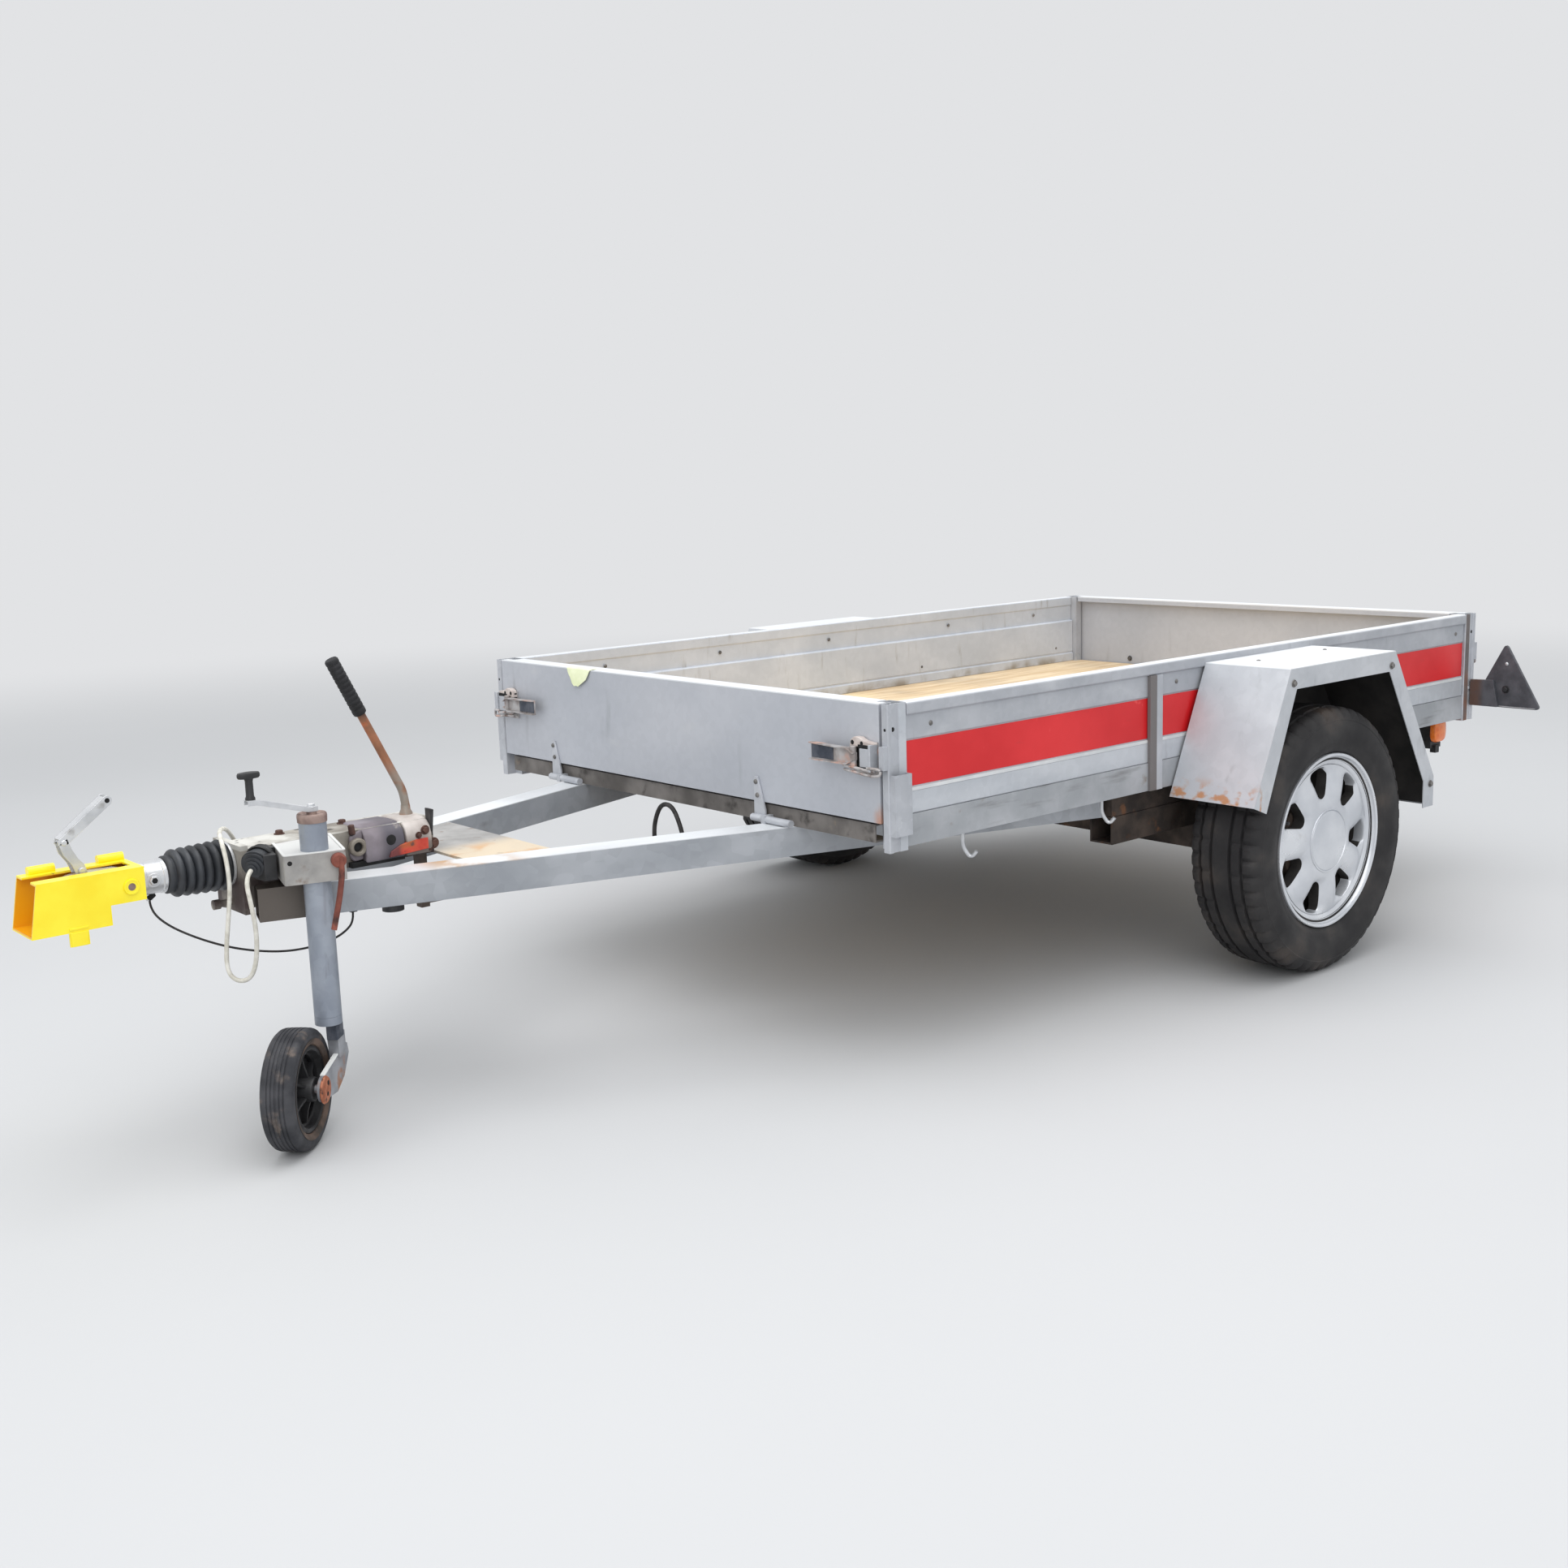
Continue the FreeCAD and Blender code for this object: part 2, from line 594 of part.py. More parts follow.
def floor_frame():
    inner = sill_face - s.sill_width
    span = (rear + s.post_depth, front - s.post_depth)
    sills = []
    for side, sign in SIDES:
        blank = block(f"sill_{side}_blank", span, (sign * inner, sign * sill_face),
                      (s.side_sill_bottom, floor_under))
        room = block(f"sill_{side}_room", span, (sign * inner, sign * (sill_face - s.sill_wall)),
                     (s.side_sill_bottom + s.sill_wall, floor_under - s.sill_wall))
        sills.append(cut(f"sill_{side}", blank, room))
    keep(group("side_sills", *sills))
    across = half - s.post_width - s.fit_gap
    keep(group("end_sills", *[end_sill(end, ahead, across) for end, ahead in ENDS]))
    members = []
    reach = inner - s.fit_gap
    for number in range(3):
        middle = front - s.box_length / 2 + (number - 1) * s.cross_step
        members.append(hollow_bar(f"cross_member_{number}", "y",
                                  (middle - s.cross_depth / 2, middle + s.cross_depth / 2),
                                  (-reach, reach), (s.cross_bottom, floor_under), s.cross_wall))
    keep(group("cross_members", *members))
    edge = panel_face - s.side_thin - s.fit_gap
    long_end = front - s.gate_thickness - s.swing_gap
    notch = front - s.post_depth - s.fit_gap
    back_notch = rear + s.post_depth + s.fit_gap
    back_end = rear + s.gate_thickness + s.swing_gap
    half_plan = ((back_end, across), (back_notch, across), (back_notch, edge), (notch, edge),
                 (notch, across), (long_end, across))
    plan = half_plan + tuple((x, -y) for x, y in reversed(half_plan))
    keep(profile("floor_board", "XY", plan, (floor_under, s.floor_top)))


def end_sill(end, ahead, across):
    """A folded channel between two posts, stepped down so that the gate's foot clears it."""
    face = front if ahead > 0 else rear
    near = face - ahead * s.end_sill_inset
    step = face - ahead * (s.gate_thickness + s.swing_gap)
    back = face - ahead * (s.post_depth - s.fit_gap)
    shelf = s.gate_foot - s.swing_gap
    wall = ahead * s.end_sill_wall
    up = s.end_sill_wall
    points = ((back, s.cross_bottom), (near, s.cross_bottom), (near, shelf), (step, shelf),
              (step, floor_under), (back, floor_under), (back, floor_under - up),
              (step - wall, floor_under - up), (step - wall, shelf - up),
              (near - wall, shelf - up), (near - wall, s.cross_bottom + up),
              (back, s.cross_bottom + up))
    return profile(f"{end}_sill", "XZ", points, (-across, across))


# Sides, posts, pockets

def sides():
    rail_foot = s.box_top - s.rail_height
    span = (rear + s.post_depth, front - s.post_depth)
    middle = front - s.side_post_back
    stiffeners = []
    for side, sign in SIDES:
        thin = panel_face - s.side_thin
        thick = panel_face - s.side_thick
        band = panel_face - s.band_depth
        section = ((half, rail_foot), (half, s.box_top), (thin, s.box_top),
                   (thin, s.side_step), (thick, s.side_step), (thick, s.floor_top),
                   (thin, s.floor_top), (thin, floor_under), (panel_face, floor_under),
                   (panel_face, s.band_foot), (band, s.band_foot), (band, s.band_top),
                   (panel_face, s.band_top), (panel_face, rail_foot))
        keep(profile(f"side_panel_{side}", "YZ", [(sign * y, z) for y, z in section], span))
        proud = panel_face + s.side_post_proud
        section = ((panel_face, rail_foot), (panel_face, floor_under), (sill_face, floor_under),
                   (sill_face, s.side_sill_bottom), (proud, s.side_sill_bottom),
                   (proud, rail_foot))
        stiffeners.append(profile(f"side_post_{side}", "YZ", [(sign * y, z) for y, z in section],
                                  (middle - s.side_post_width / 2,
                                   middle + s.side_post_width / 2)))
    keep(group("side_posts", *stiffeners))
    keep(group("corner_posts", *[corner_post(end, ahead, side, sign)
                                 for end, ahead in ENDS for side, sign in SIDES]))
    keep(group("stake_pockets", *[stake_pocket(side, sign) for side, sign in SIDES]))


def corner_post(end, ahead, side, sign):
    """An angle whose ribbed outer leg stands beside the gate's end."""
    face = front if ahead > 0 else rear
    inner = half - s.post_width
    lip = half - s.post_lip
    back = face - ahead * s.post_depth
    rebate = face - ahead * (s.gate_thickness + s.swing_gap)
    rib = face - ahead * s.post_rib
    flat = half - s.post_rib_proud
    plan = ((face, half), (face, lip), (rebate, lip), (rebate, inner), (back, inner),
            (back, flat), (rib, flat), (rib, half))
    return profile(f"corner_post_{end}_{side}", "XY", [(x, sign * y) for x, y in plan],
                   (s.post_bottom, s.box_top))


def stake_pocket(side, sign):
    start = front - s.pocket_wall
    back = start - s.pocket_width
    top = s.pocket_foot + s.pocket_height
    outer = block(f"pocket_{side}_blank", (back, start),
                  (sign * half, sign * (half + s.pocket_proud)), (s.pocket_foot, top))
    room = block(f"pocket_{side}_room", (back + s.pocket_wall, start - s.pocket_wall),
                 (sign * half, sign * (half + s.pocket_proud - s.pocket_wall)),
                 (s.pocket_foot - s.pocket_wall, top + s.pocket_wall))
    return cut(f"pocket_{side}", outer, room)


# Gates with their hinges and latches

def gate(end, ahead):
    face = front if ahead > 0 else rear
    inner = face - ahead * s.gate_thickness
    lip = inner - ahead * s.gate_lip_depth
    lip_foot = s.box_top - s.gate_lip_height
    slab = block(f"{end}_gate_slab", (face, inner), (-gate_half, gate_half),
                 (s.gate_foot, s.box_top))
    lip_half = half - s.post_width - s.swing_gap
    fold = block(f"{end}_gate_fold", (inner, lip), (-lip_half, lip_half),
                 (lip_foot, s.box_top))
    keep(join(f"{end}_gate_panel", slab, fold))
    axis = face + ahead * s.hinge_proud
    straps, lugs, latches, catches = [], [], [], []
    for place, sign in HINGES:
        middle = sign * getattr(s, place)
        start, stop = middle - s.strap_width / 2, middle + s.strap_width / 2
        label = f"{end}_{place}"
        shoulder = s.hinge_height + s.strap_shoulder
        tip = start + s.strap_tip_in
        leaf = ((start, s.hinge_height), (stop, s.hinge_height), (stop, shoulder),
                (tip + s.strap_tip, s.strap_top), (tip, s.strap_top), (start, shoulder))
        strap = profile(label + "_strap", "YZ", leaf, (face, face + ahead * s.strap_thickness))
        knuckle = rod(label + "_knuckle", "y", s.knuckle_radius, (start, stop),
                      axis, s.hinge_height)
        bore = rod(label + "_bore", "y", s.hinge_pin_radius + s.pin_clearance, (start, stop),
                   axis, s.hinge_height)
        straps.append(cut(label, join(label + "_blank", strap, knuckle), bore))
        lug_start = stop + 1
        near = face - ahead * s.end_sill_inset
        lug = block(label + "_lug", (near, axis + ahead * s.knuckle_radius),
                    (lug_start, lug_start + s.lug_width),
                    (s.cross_bottom, s.hinge_height + s.knuckle_radius))
        barrel_end = lug_start + s.lug_barrel
        barrel = rod(label + "_barrel", "y", s.knuckle_radius, (lug_start, barrel_end),
                     axis, s.hinge_height)
        pin = rod(label + "_pin", "y", s.hinge_pin_radius, (start - 2, barrel_end),
                  axis, s.hinge_height)
        lugs.append(join(label + "_fixed", lug, barrel, pin))
    keep(group(f"{end}_gate_hinges", *straps))
    for side, sign in SIDES:
        label = f"{end}_latch_{side}"
        outer = gate_half - s.latch_end
        base_in = outer - s.latch_base_width
        plate_face = face + ahead * s.latch_base_thickness
        base = block(label + "_base", (face, plate_face), (sign * base_in, sign * outer),
                     (s.latch_height - s.latch_base_height / 2,
                      s.latch_height + s.latch_base_height / 2))
        hub = block(label + "_hub", (plate_face, face + ahead * s.latch_proud),
                    (sign * (outer - s.latch_base_width * 0.6), sign * (outer - s.hub_inset)),
                    (s.latch_height - s.lever_height * 0.6, s.latch_height + s.lever_height * 0.6))
        arm_face = face + ahead * (s.latch_proud - s.lever_drop)
        arm = block(label + "_arm", (arm_face - ahead * s.lever_thickness, arm_face),
                    (sign * (base_in - s.lever_length * 0.6), sign * (outer - s.lever_inset)),
                    (s.latch_height - s.lever_height / 2, s.latch_height + s.lever_height / 2))
        latches.append(join(label, base, hub, arm))
        catches.append(block(f"{end}_catch_{side}", (face, face + ahead * s.catch_proud),
                             (sign * (half - 1), sign * (half - 1 - s.catch_width)),
                             (s.latch_height - s.catch_height / 2,
                              s.latch_height + s.catch_height / 2)))
    keep(group(f"{end}_gate_latches", *latches))
    return lugs, catches


def gates():
    made = [gate(end, ahead) for end, ahead in ENDS]
    keep(group("hinge_lugs", *[lug for lugs, catches in made for lug in lugs]))
    keep(group("gate_catches", *[catch for lugs, catches in made for catch in catches]))


# Mudguards

def guard_path(inset):
    """The guard's outline in X and Z, moved inward by an inset."""
    slope = inset * 0.5
    return (
        (wheel_x + s.guard_front_foot - inset, s.guard_front_height - inset * 0.4),
        (wheel_x + s.guard_front_top - slope, s.guard_top - inset),
        (wheel_x - s.guard_rear_top + slope, s.guard_top - inset),
        (wheel_x - s.guard_rear_foot + inset, s.guard_tail_top - slope * 0.3),
        (wheel_x - s.guard_rear_foot + inset, s.guard_tail_foot),
    )


def mudguards():
    for side, sign in SIDES:
        outer = half + s.guard_reach
        sheet_band = guard_path(ZERO) + tuple(reversed(guard_path(s.guard_sheet)))
        strip_band = guard_path(ZERO) + tuple(reversed(guard_path(s.guard_rim)))
        cover = profile(f"mudguard_{side}_sheet", "XZ", sheet_band,
                        (sign * (half + s.fit_gap), sign * outer))
        strip = profile(f"mudguard_{side}_strip", "XZ", strip_band,
                        (sign * (outer - s.guard_sheet), sign * outer))
        keep(join(f"mudguard_{side}", cover, strip))


# Drawbar

def cosine_of(size):
    return Measure(math.cos(math.radians(size.number)), f"cos({size.text} * 1 deg)")


def sine_of(size):
    return Measure(math.sin(math.radians(size.number)), f"sin({size.text} * 1 deg)")


def drawbar_arm(label, sign):
    """A square tube whose outer face crosses the front gate's plane at arm_outer."""
    sine, cosine = sine_of(s.arm_angle), cosine_of(s.arm_angle)
    rear_outer = s.arm_outer + s.arm_rear * sine / cosine
    pieces = []
    for part, wall in (("blank", ZERO), ("room", s.arm_wall)):
        item = doc.addObject("Part::Box", f"{label}_{part}")
        bind(item, "Length", arm_reach / cosine)
        bind(item, "Width", s.arm_size - 2 * wall)
        bind(item, "Height", s.arm_size - 2 * wall)
        item.Placement = Placement(Vector(), Rotation(Vector(0, 0, 1), 1))
        bind(item, "Placement.Rotation.Angle", -sign * s.arm_angle)
        inward = s.arm_size - wall if sign > 0 else wall
        put(item, front - s.arm_rear - sine * inward, sign * (rear_outer - cosine * inward),
            arm_foot + wall)
        pieces.append(item)
    return cut(label, *pieces)


def arm_middle(x):
    """Middle line of an arm, out from the trailer's middle, at x ahead of the gate face."""
    sine, cosine = sine_of(s.arm_angle), cosine_of(s.arm_angle)
    return s.arm_outer - x * sine / cosine - s.arm_size / 2 / cosine


def drawbar():
    feet = []
    for side, sign in SIDES:
        keep(drawbar_arm(f"drawbar_arm_{side}", sign))
        feet.append(rod(f"arm_foot_{side}", "z", s.buffer_radius,
                        (arm_foot - s.buffer_height, arm_foot), front + s.buffer_x,
                        sign * arm_middle(s.buffer_x)))
    keep(group("arm_feet", *feet))
    gusset()
    body = block("overrun_body", (front + s.head_start, flange_rear),
                 (-s.head_width / 2, s.head_width / 2), (s.cross_bottom, s.head_top))
    flange = block("overrun_flange", (flange_rear, front + s.head_end),
                   (-s.flange_width / 2, s.flange_width / 2), (s.flange_foot, s.head_top + s.flange_rise))
    stub_start = front + s.head_end
    knob_start = stub_start + s.stub_reach
    stub = rod("overrun_stub", "x", s.stub_radius_out, (stub_start, knob_start),
               ZERO, stub_height)
    knob = rod("overrun_knob", "x", s.stub_knob_radius,
               (knob_start, knob_start + s.stub_knob_length), ZERO, stub_height)
    room = rod("overrun_room", "x", s.shaft_radius + s.pin_clearance,
               (front + s.head_start, front + s.head_end), ZERO, s.shaft_height)
    keep(cut("overrun_housing", join("overrun_blank", body, flange, stub, knob), room))
    neck_front = gaiter_front + s.neck_length
    shaft = rod("shaft_rod", "x", s.shaft_radius, (front + s.tower_end, gaiter_front),
                ZERO, s.shaft_height)
    neck = rod("shaft_neck", "x", s.neck_radius, (gaiter_front, neck_front),
               ZERO, s.shaft_height)
    eye_foot = s.shaft_height - s.neck_radius
    eye_start = gaiter_front + s.eye_back
    eye = block("shaft_eye", (eye_start, eye_start + s.eye_length),
                (-s.eye_thickness / 2, s.eye_thickness / 2),
                (eye_foot - s.eye_drop, s.shaft_height))
    keep(join("coupling_shaft", shaft, neck, eye))
    gaiter(front + s.head_end)
    coupler(neck_front)
    lock_box()


def gusset():
    """A flat plate between the two arms, behind the overrun housing."""
    inward = s.arm_size / 2 / cosine_of(s.arm_angle) + s.fit_gap
    corners = [(front + x, arm_middle(x) - inward) for x in (s.gusset_start, s.gusset_end)]
    points = corners + [(x, -y) for x, y in reversed(corners)]
    top = s.cross_bottom - s.gusset_drop
    keep(profile("drawbar_gusset", "XY", points, (top - s.gusset_sheet, top)))


def gaiter(start):
    pitch = s.gaiter_length / s.gaiter_pleats
    inner = s.shaft_radius + s.fit_gap
    points = [(inner, ZERO)]
    for number in range(int(s.gaiter_pleats.number)):
        foot = pitch * number
        points += [(s.gaiter_root, foot), (s.gaiter_radius, foot + pitch * 0.4),
                   (s.gaiter_radius, foot + pitch * 0.6)]
    points += [(s.gaiter_root, s.gaiter_length), (inner, s.gaiter_length)]
    keep(turned("gaiter", points, start, ZERO, s.shaft_height,
                Rotation(Vector(0, 0, 1), -90)))


def coupler(neck_front):
    """The coupling head inside the lock box, its ball socket open below, and its handle."""
    tip = front + nose_reach - s.coupler_back
    rear_foot = lock_rear_foot + s.lock_wall + s.fit_gap
    step = front + nose_reach - s.lock_length + s.lock_step + s.lock_wall + s.fit_gap
    head = profile("coupler_block", "XZ",
                   ((neck_front, rear_foot), (step, rear_foot), (step, coupler_foot),
                    (tip, coupler_foot), (tip - s.coupler_rake, coupler_top),
                    (neck_front, coupler_top)),
                   (-s.coupler_width / 2, s.coupler_width / 2))
    ball = doc.addObject("Part::Sphere", "coupler_socket")
    bind(ball, "Radius", s.socket_radius)
    put(ball, tip - s.socket_back, ZERO, coupler_foot + s.socket_rise)
    keep(cut("coupling_head", head, ball))
    base = front + nose_reach - s.handle_back
    top = coupler_top
    thick = s.handle_thickness / 2
    knee_x, knee_z = base + s.handle_knee, top + s.handle_knee_rise
    tip_x, tip_z = base - s.handle_tip, top + s.handle_tip_rise
    points = ((base - thick, top), (base + thick, top), (knee_x + thick, knee_z),
              (tip_x + thick * 0.6, tip_z + thick * 0.8), (tip_x - thick * 0.6, tip_z - thick * 0.8),
              (knee_x - thick, knee_z - thick * 0.6))
    handle = profile("handle_blank", "XZ", points, (-s.handle_width / 2, s.handle_width / 2))
    hole = rod("handle_hole", "y", s.handle_hole / 2, (-s.handle_width, s.handle_width),
               tip_x + s.handle_hole_back, tip_z - s.handle_hole_back * 0.8)
    keep(cut("coupling_handle", handle, hole))


def lock_box():
    tip = front + nose_reach
    back = tip - s.lock_length
    step = back + s.lock_step
    wall = s.lock_wall
    halfway = s.lock_width / 2
    shell = profile("lock_shell", "XZ",
                    ((back, lock_rear_foot), (step, lock_rear_foot), (step, lock_foot),
                     (tip, lock_foot), (tip - s.lock_rake, lock_top), (back, lock_top)),
                    (-halfway, halfway))
    room = profile("lock_room", "XZ",
                   ((back + wall, lock_rear_foot + wall),
                    (step + wall, lock_rear_foot + wall), (step + wall, lock_foot + wall),
                    (tip + 1, lock_foot + wall), (tip + 1, lock_top - wall),
                    (back + wall, lock_top - wall)),
                   (-halfway + wall, halfway - wall))
    slot = block("lock_slot_room", (back + s.slot_back, tip + 1),
                 (-s.lock_slot / 2, s.lock_slot / 2),
                 (lock_top - wall - 1, lock_top + 1))
    throat = rod("lock_throat", "x", s.neck_radius + 2, (back - 1, gaiter_front + s.neck_length + 1),
                 ZERO, s.shaft_height)
    bolt = rod("lock_bolt", "y", s.lock_bolt_radius, (halfway - wall, halfway + s.lock_bolt_proud),
               back + s.lock_bolt_in, s.shaft_height)
    box = cut("lock_hollow", shell, room, slot, throat)
    tab_end = tip - s.lock_tab_back
    tab = block("lock_tab_plate", (tab_end - s.lock_tab_length, tab_end), (halfway - wall, halfway),
                (lock_foot - s.lock_tab, lock_foot + wall))
    barrels = [rod(f"lock_barrel_{number}", "x", s.barrel_radius,
                   (back + start, back + start + s.knuckle_length),
                   -halfway + s.barrel_radius, lock_top + s.barrel_radius * 0.6)
               for number, start in enumerate((s.knuckle_in, s.knuckle_in + s.knuckle_step))]
    keep(join("lock_box", box, tab, bolt, *barrels))


# Handbrake, brake rod

def handbrake():
    low = s.cross_bottom
    top = s.head_top + s.tower_rise
    start, stop = front + s.tower_start, front + s.tower_end
    outer = s.head_width / 2
    plate = block("handbrake_plate", (start, stop), (outer, outer + s.plate_thickness),
                  (low + s.plate_rise, top))
    cap = block("handbrake_cap", (start, stop - s.cap_back), (-outer, outer), (s.head_top, top))
    keep(join("handbrake_housing", plate, cap))
    x0 = (front + s.lever_foot_x).number
    bend = s.lever_bend.number
    tip_x, tip_z = (front + s.lever_tip_x).number, s.lever_tip.number
    foot_z = (top + s.lever_lift).number
    bend_x = x0 + s.lever_lean.number
    slope = Vector(tip_x - bend_x, 0, tip_z - bend)
    slope.normalize()
    grip_end = Vector(tip_x, 0, tip_z)
    grip_start = grip_end - slope * s.grip_length.number
    radius = s.lever_radius.number
    keep(along_route("handbrake_lever",
                     [(x0, 0, foot_z), (bend_x, 0, bend), tuple(grip_start)], radius))
    grip = doc.addObject("Part::Feature", "handbrake_grip")
    grip.Shape = Part.makeCylinder(s.grip_radius.number, s.grip_length.number, grip_start, slope)
    keep(grip)
    tube_x = wheel_x + s.swing_length
    yoke_x = front + s.head_start
    pull = rod("brake_pull", "x", s.rod_radius, (tube_x, yoke_x), ZERO, rod_height)
    yoke = block("brake_yoke", (yoke_x - s.yoke_back, yoke_x + s.yoke_length),
                 (-s.yoke_width / 2, s.yoke_width / 2), (rod_height - s.yoke_drop, s.cross_bottom))
    anchor = block("brake_anchor",
                   (tube_x - s.anchor_thickness / 2, tube_x + s.anchor_thickness / 2),
                   (-s.anchor_width / 2, s.anchor_width / 2),
                   (beam_foot, rod_height + s.anchor_rise))
    keep(join("brake_rod", pull, yoke, anchor))


# Chassis beams, axle, brakes

def running_gear():
    outer = half - s.beam_inset
    inner = outer - s.beam_width
    start = front - s.beam_start
    stop = start - s.beam_length
    beams = [hollow_bar(f"chassis_beam_{side}", "x", (stop, start), (sign * inner, sign * outer),
                        (beam_foot, arm_foot), s.beam_wall) for side, sign in SIDES]
    keep(group("chassis_beams", *beams))
    reach = sill_face - s.sill_width - s.fit_gap
    spacers = [hollow_bar(f"beam_spacer_{number}", "y", (place, place + s.cross_depth),
                          (-reach, reach), (arm_foot, s.cross_bottom), s.cross_wall)
               for number, place in enumerate((stop + s.spacer_back,
                                               stop + s.spacer_back + s.spacer_step))]
    keep(group("beam_spacers", *spacers))
    tube_x = wheel_x + s.swing_length
    tube_end = half + s.axle_end
    tube_half = s.axle_size / 2
    keep(hollow_bar("axle_tube", "y", (tube_x - tube_half, tube_x + tube_half),
                    (-tube_end, tube_end), (beam_foot - s.axle_size, beam_foot), s.axle_wall))
    level = beam_foot - tube_half
    reach = s.swing_height / 2
    arms = []
    for side, sign in SIDES:
        arm = block(f"swing_{side}_plate", (wheel_x - reach, tube_x + reach),
                    (sign * tube_end, sign * (tube_end + s.swing_width)),
                    (level - reach, level + reach))
        stub = rod(f"stub_{side}", "y", s.stub_radius,
                   (sign * tube_end, sign * (mount_face - s.stub_end)), wheel_x, s.tyre_radius)
        plate_out = mount_face - s.drum_width - s.backplate_gap
        plate = rod(f"backplate_{side}", "y", s.drum_radius - s.backplate_inset,
                    (sign * (plate_out - s.backplate_thickness), sign * plate_out),
                    wheel_x, s.tyre_radius)
        arms.append(join(f"swing_arm_{side}", arm, stub, plate))
    keep(group("swing_arms", *arms))


# Road wheels

def road_wheels():
    for side, sign in SIDES:
        centre = sign * wheel_y
        bead = s.bead_radius + s.fit_gap
        side_out = s.tyre_width / 2
        seat = s.rim_width / 2 - s.flange_thick - s.fit_gap
        tread = s.tread_width / 2
        half_section = ((bead, seat), (s.flange_radius + s.fit_gap, seat),
                        (bead + s.bulge_rise, side_out),
                        (s.tyre_radius - s.shoulder_drop, side_out - s.shoulder_in),
                        (s.tyre_radius, tread))
        other = tuple((r, -y) for r, y in reversed(half_section))
        keep(turned(f"tyre_{side}", half_section + other, wheel_x, centre, s.tyre_radius))
        rim(side, sign, centre)
        bore = rod(f"drum_{side}_bore", "y", s.stub_radius + s.pin_clearance,
                   (sign * (mount_face - s.drum_width - 1), sign * (mount_face + 1)),
                   wheel_x, s.tyre_radius)
        drum = rod(f"drum_{side}_blank", "y", s.drum_radius,
                   (sign * (mount_face - s.drum_width), sign * mount_face),
                   wheel_x, s.tyre_radius)
        keep(cut(f"brake_drum_{side}", drum, bore))


def rim(side, sign, centre):
    edge = s.rim_width / 2
    seat = edge - s.flange_thick
    disc_in = s.wheel_offset
    disc_out = disc_in + s.disc_thickness
    cap_out = edge - s.cap_depth
    barrel = s.bead_radius - s.rim_wall
    section = ((barrel, -edge), (s.flange_radius, -edge), (s.flange_radius, -seat),
               (s.bead_radius, -seat), (s.bead_radius, seat),
               (s.flange_radius, seat), (s.flange_radius, edge),
               (s.flange_radius - s.rim_lip, edge), (s.bead_radius - s.rim_lip, seat),
               (barrel, edge - s.dish_depth), (s.cap_radius, cap_out),
               (ZERO, cap_out), (ZERO, disc_in), (s.drum_radius, disc_in),
               (barrel, disc_out))
    points = [(r, sign * y) for r, y in section]
    blank = turned(f"rim_{side}_blank", points, wheel_x, centre, s.tyre_radius)
    windows = []
    for number in range(SPOKES):
        turn = math.radians(360 / SPOKES * (number + 0.5) + 90)
        x = wheel_x + s.window_circle * round(math.cos(turn), 6)
        z = s.tyre_radius + s.window_circle * round(math.sin(turn), 6)
        windows.append(rod(f"rim_{side}_window_{number}", "y", s.window_radius,
                           (centre, centre + sign * (edge + 1)), x, z))
    keep(cut(f"rim_{side}", blank, join(f"rim_{side}_windows", *windows)))


# Jockey wheel and its clamp

def jockey():
    y = s.jockey_out
    shell = rod("jockey_tube_blank", "z", s.jockey_radius, (s.jockey_foot, s.jockey_top),
                jockey_x, y)
    bore = rod("jockey_tube_bore", "z", s.jockey_radius - s.jockey_wall,
               (s.jockey_foot - 1, s.jockey_top - 8), jockey_x, y)
    keep(cut("jockey_tube", shell, bore))
    stem = rod("jockey_stem", "z", s.knob_radius, (s.jockey_top, s.jockey_top + s.crank_rise),
               jockey_x, y)
    level = s.jockey_top + s.crank_rise
    hub_end = jockey_x + s.knob_radius
    end = jockey_x + s.crank_reach
    seat = end - s.knob_radius * 2
    raised = level + s.crank_lift
    line = ((jockey_x - s.knob_radius, level), (hub_end, level), (seat, raised), (end, raised))
    upper = tuple((x, z + s.crank_thickness) for x, z in reversed(line))
    bar = profile("jockey_crank_bar", "XZ", line + upper,
                  (y - s.crank_width / 2, y + s.crank_width / 2))
    keep(join("jockey_crank", stem, bar))
    knob_x = jockey_x + s.crank_reach - s.knob_radius
    knob_foot = raised + s.crank_thickness
    knob = rod("jockey_knob", "z", s.knob_radius, (knob_foot, knob_foot + s.knob_height),
               knob_x, y)
    top_bar = rod("jockey_knob_bar", "x", s.knob_radius,
                  (knob_x - s.knob_bar / 2, knob_x + s.knob_bar / 2), y,
                  knob_foot + s.knob_height - s.knob_radius)
    keep(join("jockey_grip", knob, top_bar))
    clamp()
    caster()


def clamp():
    y = s.jockey_out
    reach = s.jockey_radius + s.clamp_wall
    span = (jockey_x - s.clamp_length / 2, jockey_x + s.clamp_length / 2)
    blank = block("clamp_blank", span, (s.head_width / 2, y + reach), (s.clamp_foot, s.clamp_top))
    tunnel = rod("clamp_tunnel", "z", s.jockey_radius + s.fit_gap,
                 (s.clamp_foot - 1, s.clamp_top + 1), jockey_x, y)
    keep(cut("jockey_clamp", blank, tunnel))
    screw_x = jockey_x - s.clamp_length / 2 + 14
    level = s.clamp_top - 14
    face = y + reach
    screw = rod("clamp_screw", "y", 6, (face, face + 16), screw_x, level)
    lever = rod("clamp_lever", "z", 5.5, (level - s.handle_drop, level + 4), screw_x, face + 12)
    keep(join("clamp_handle", screw, lever))


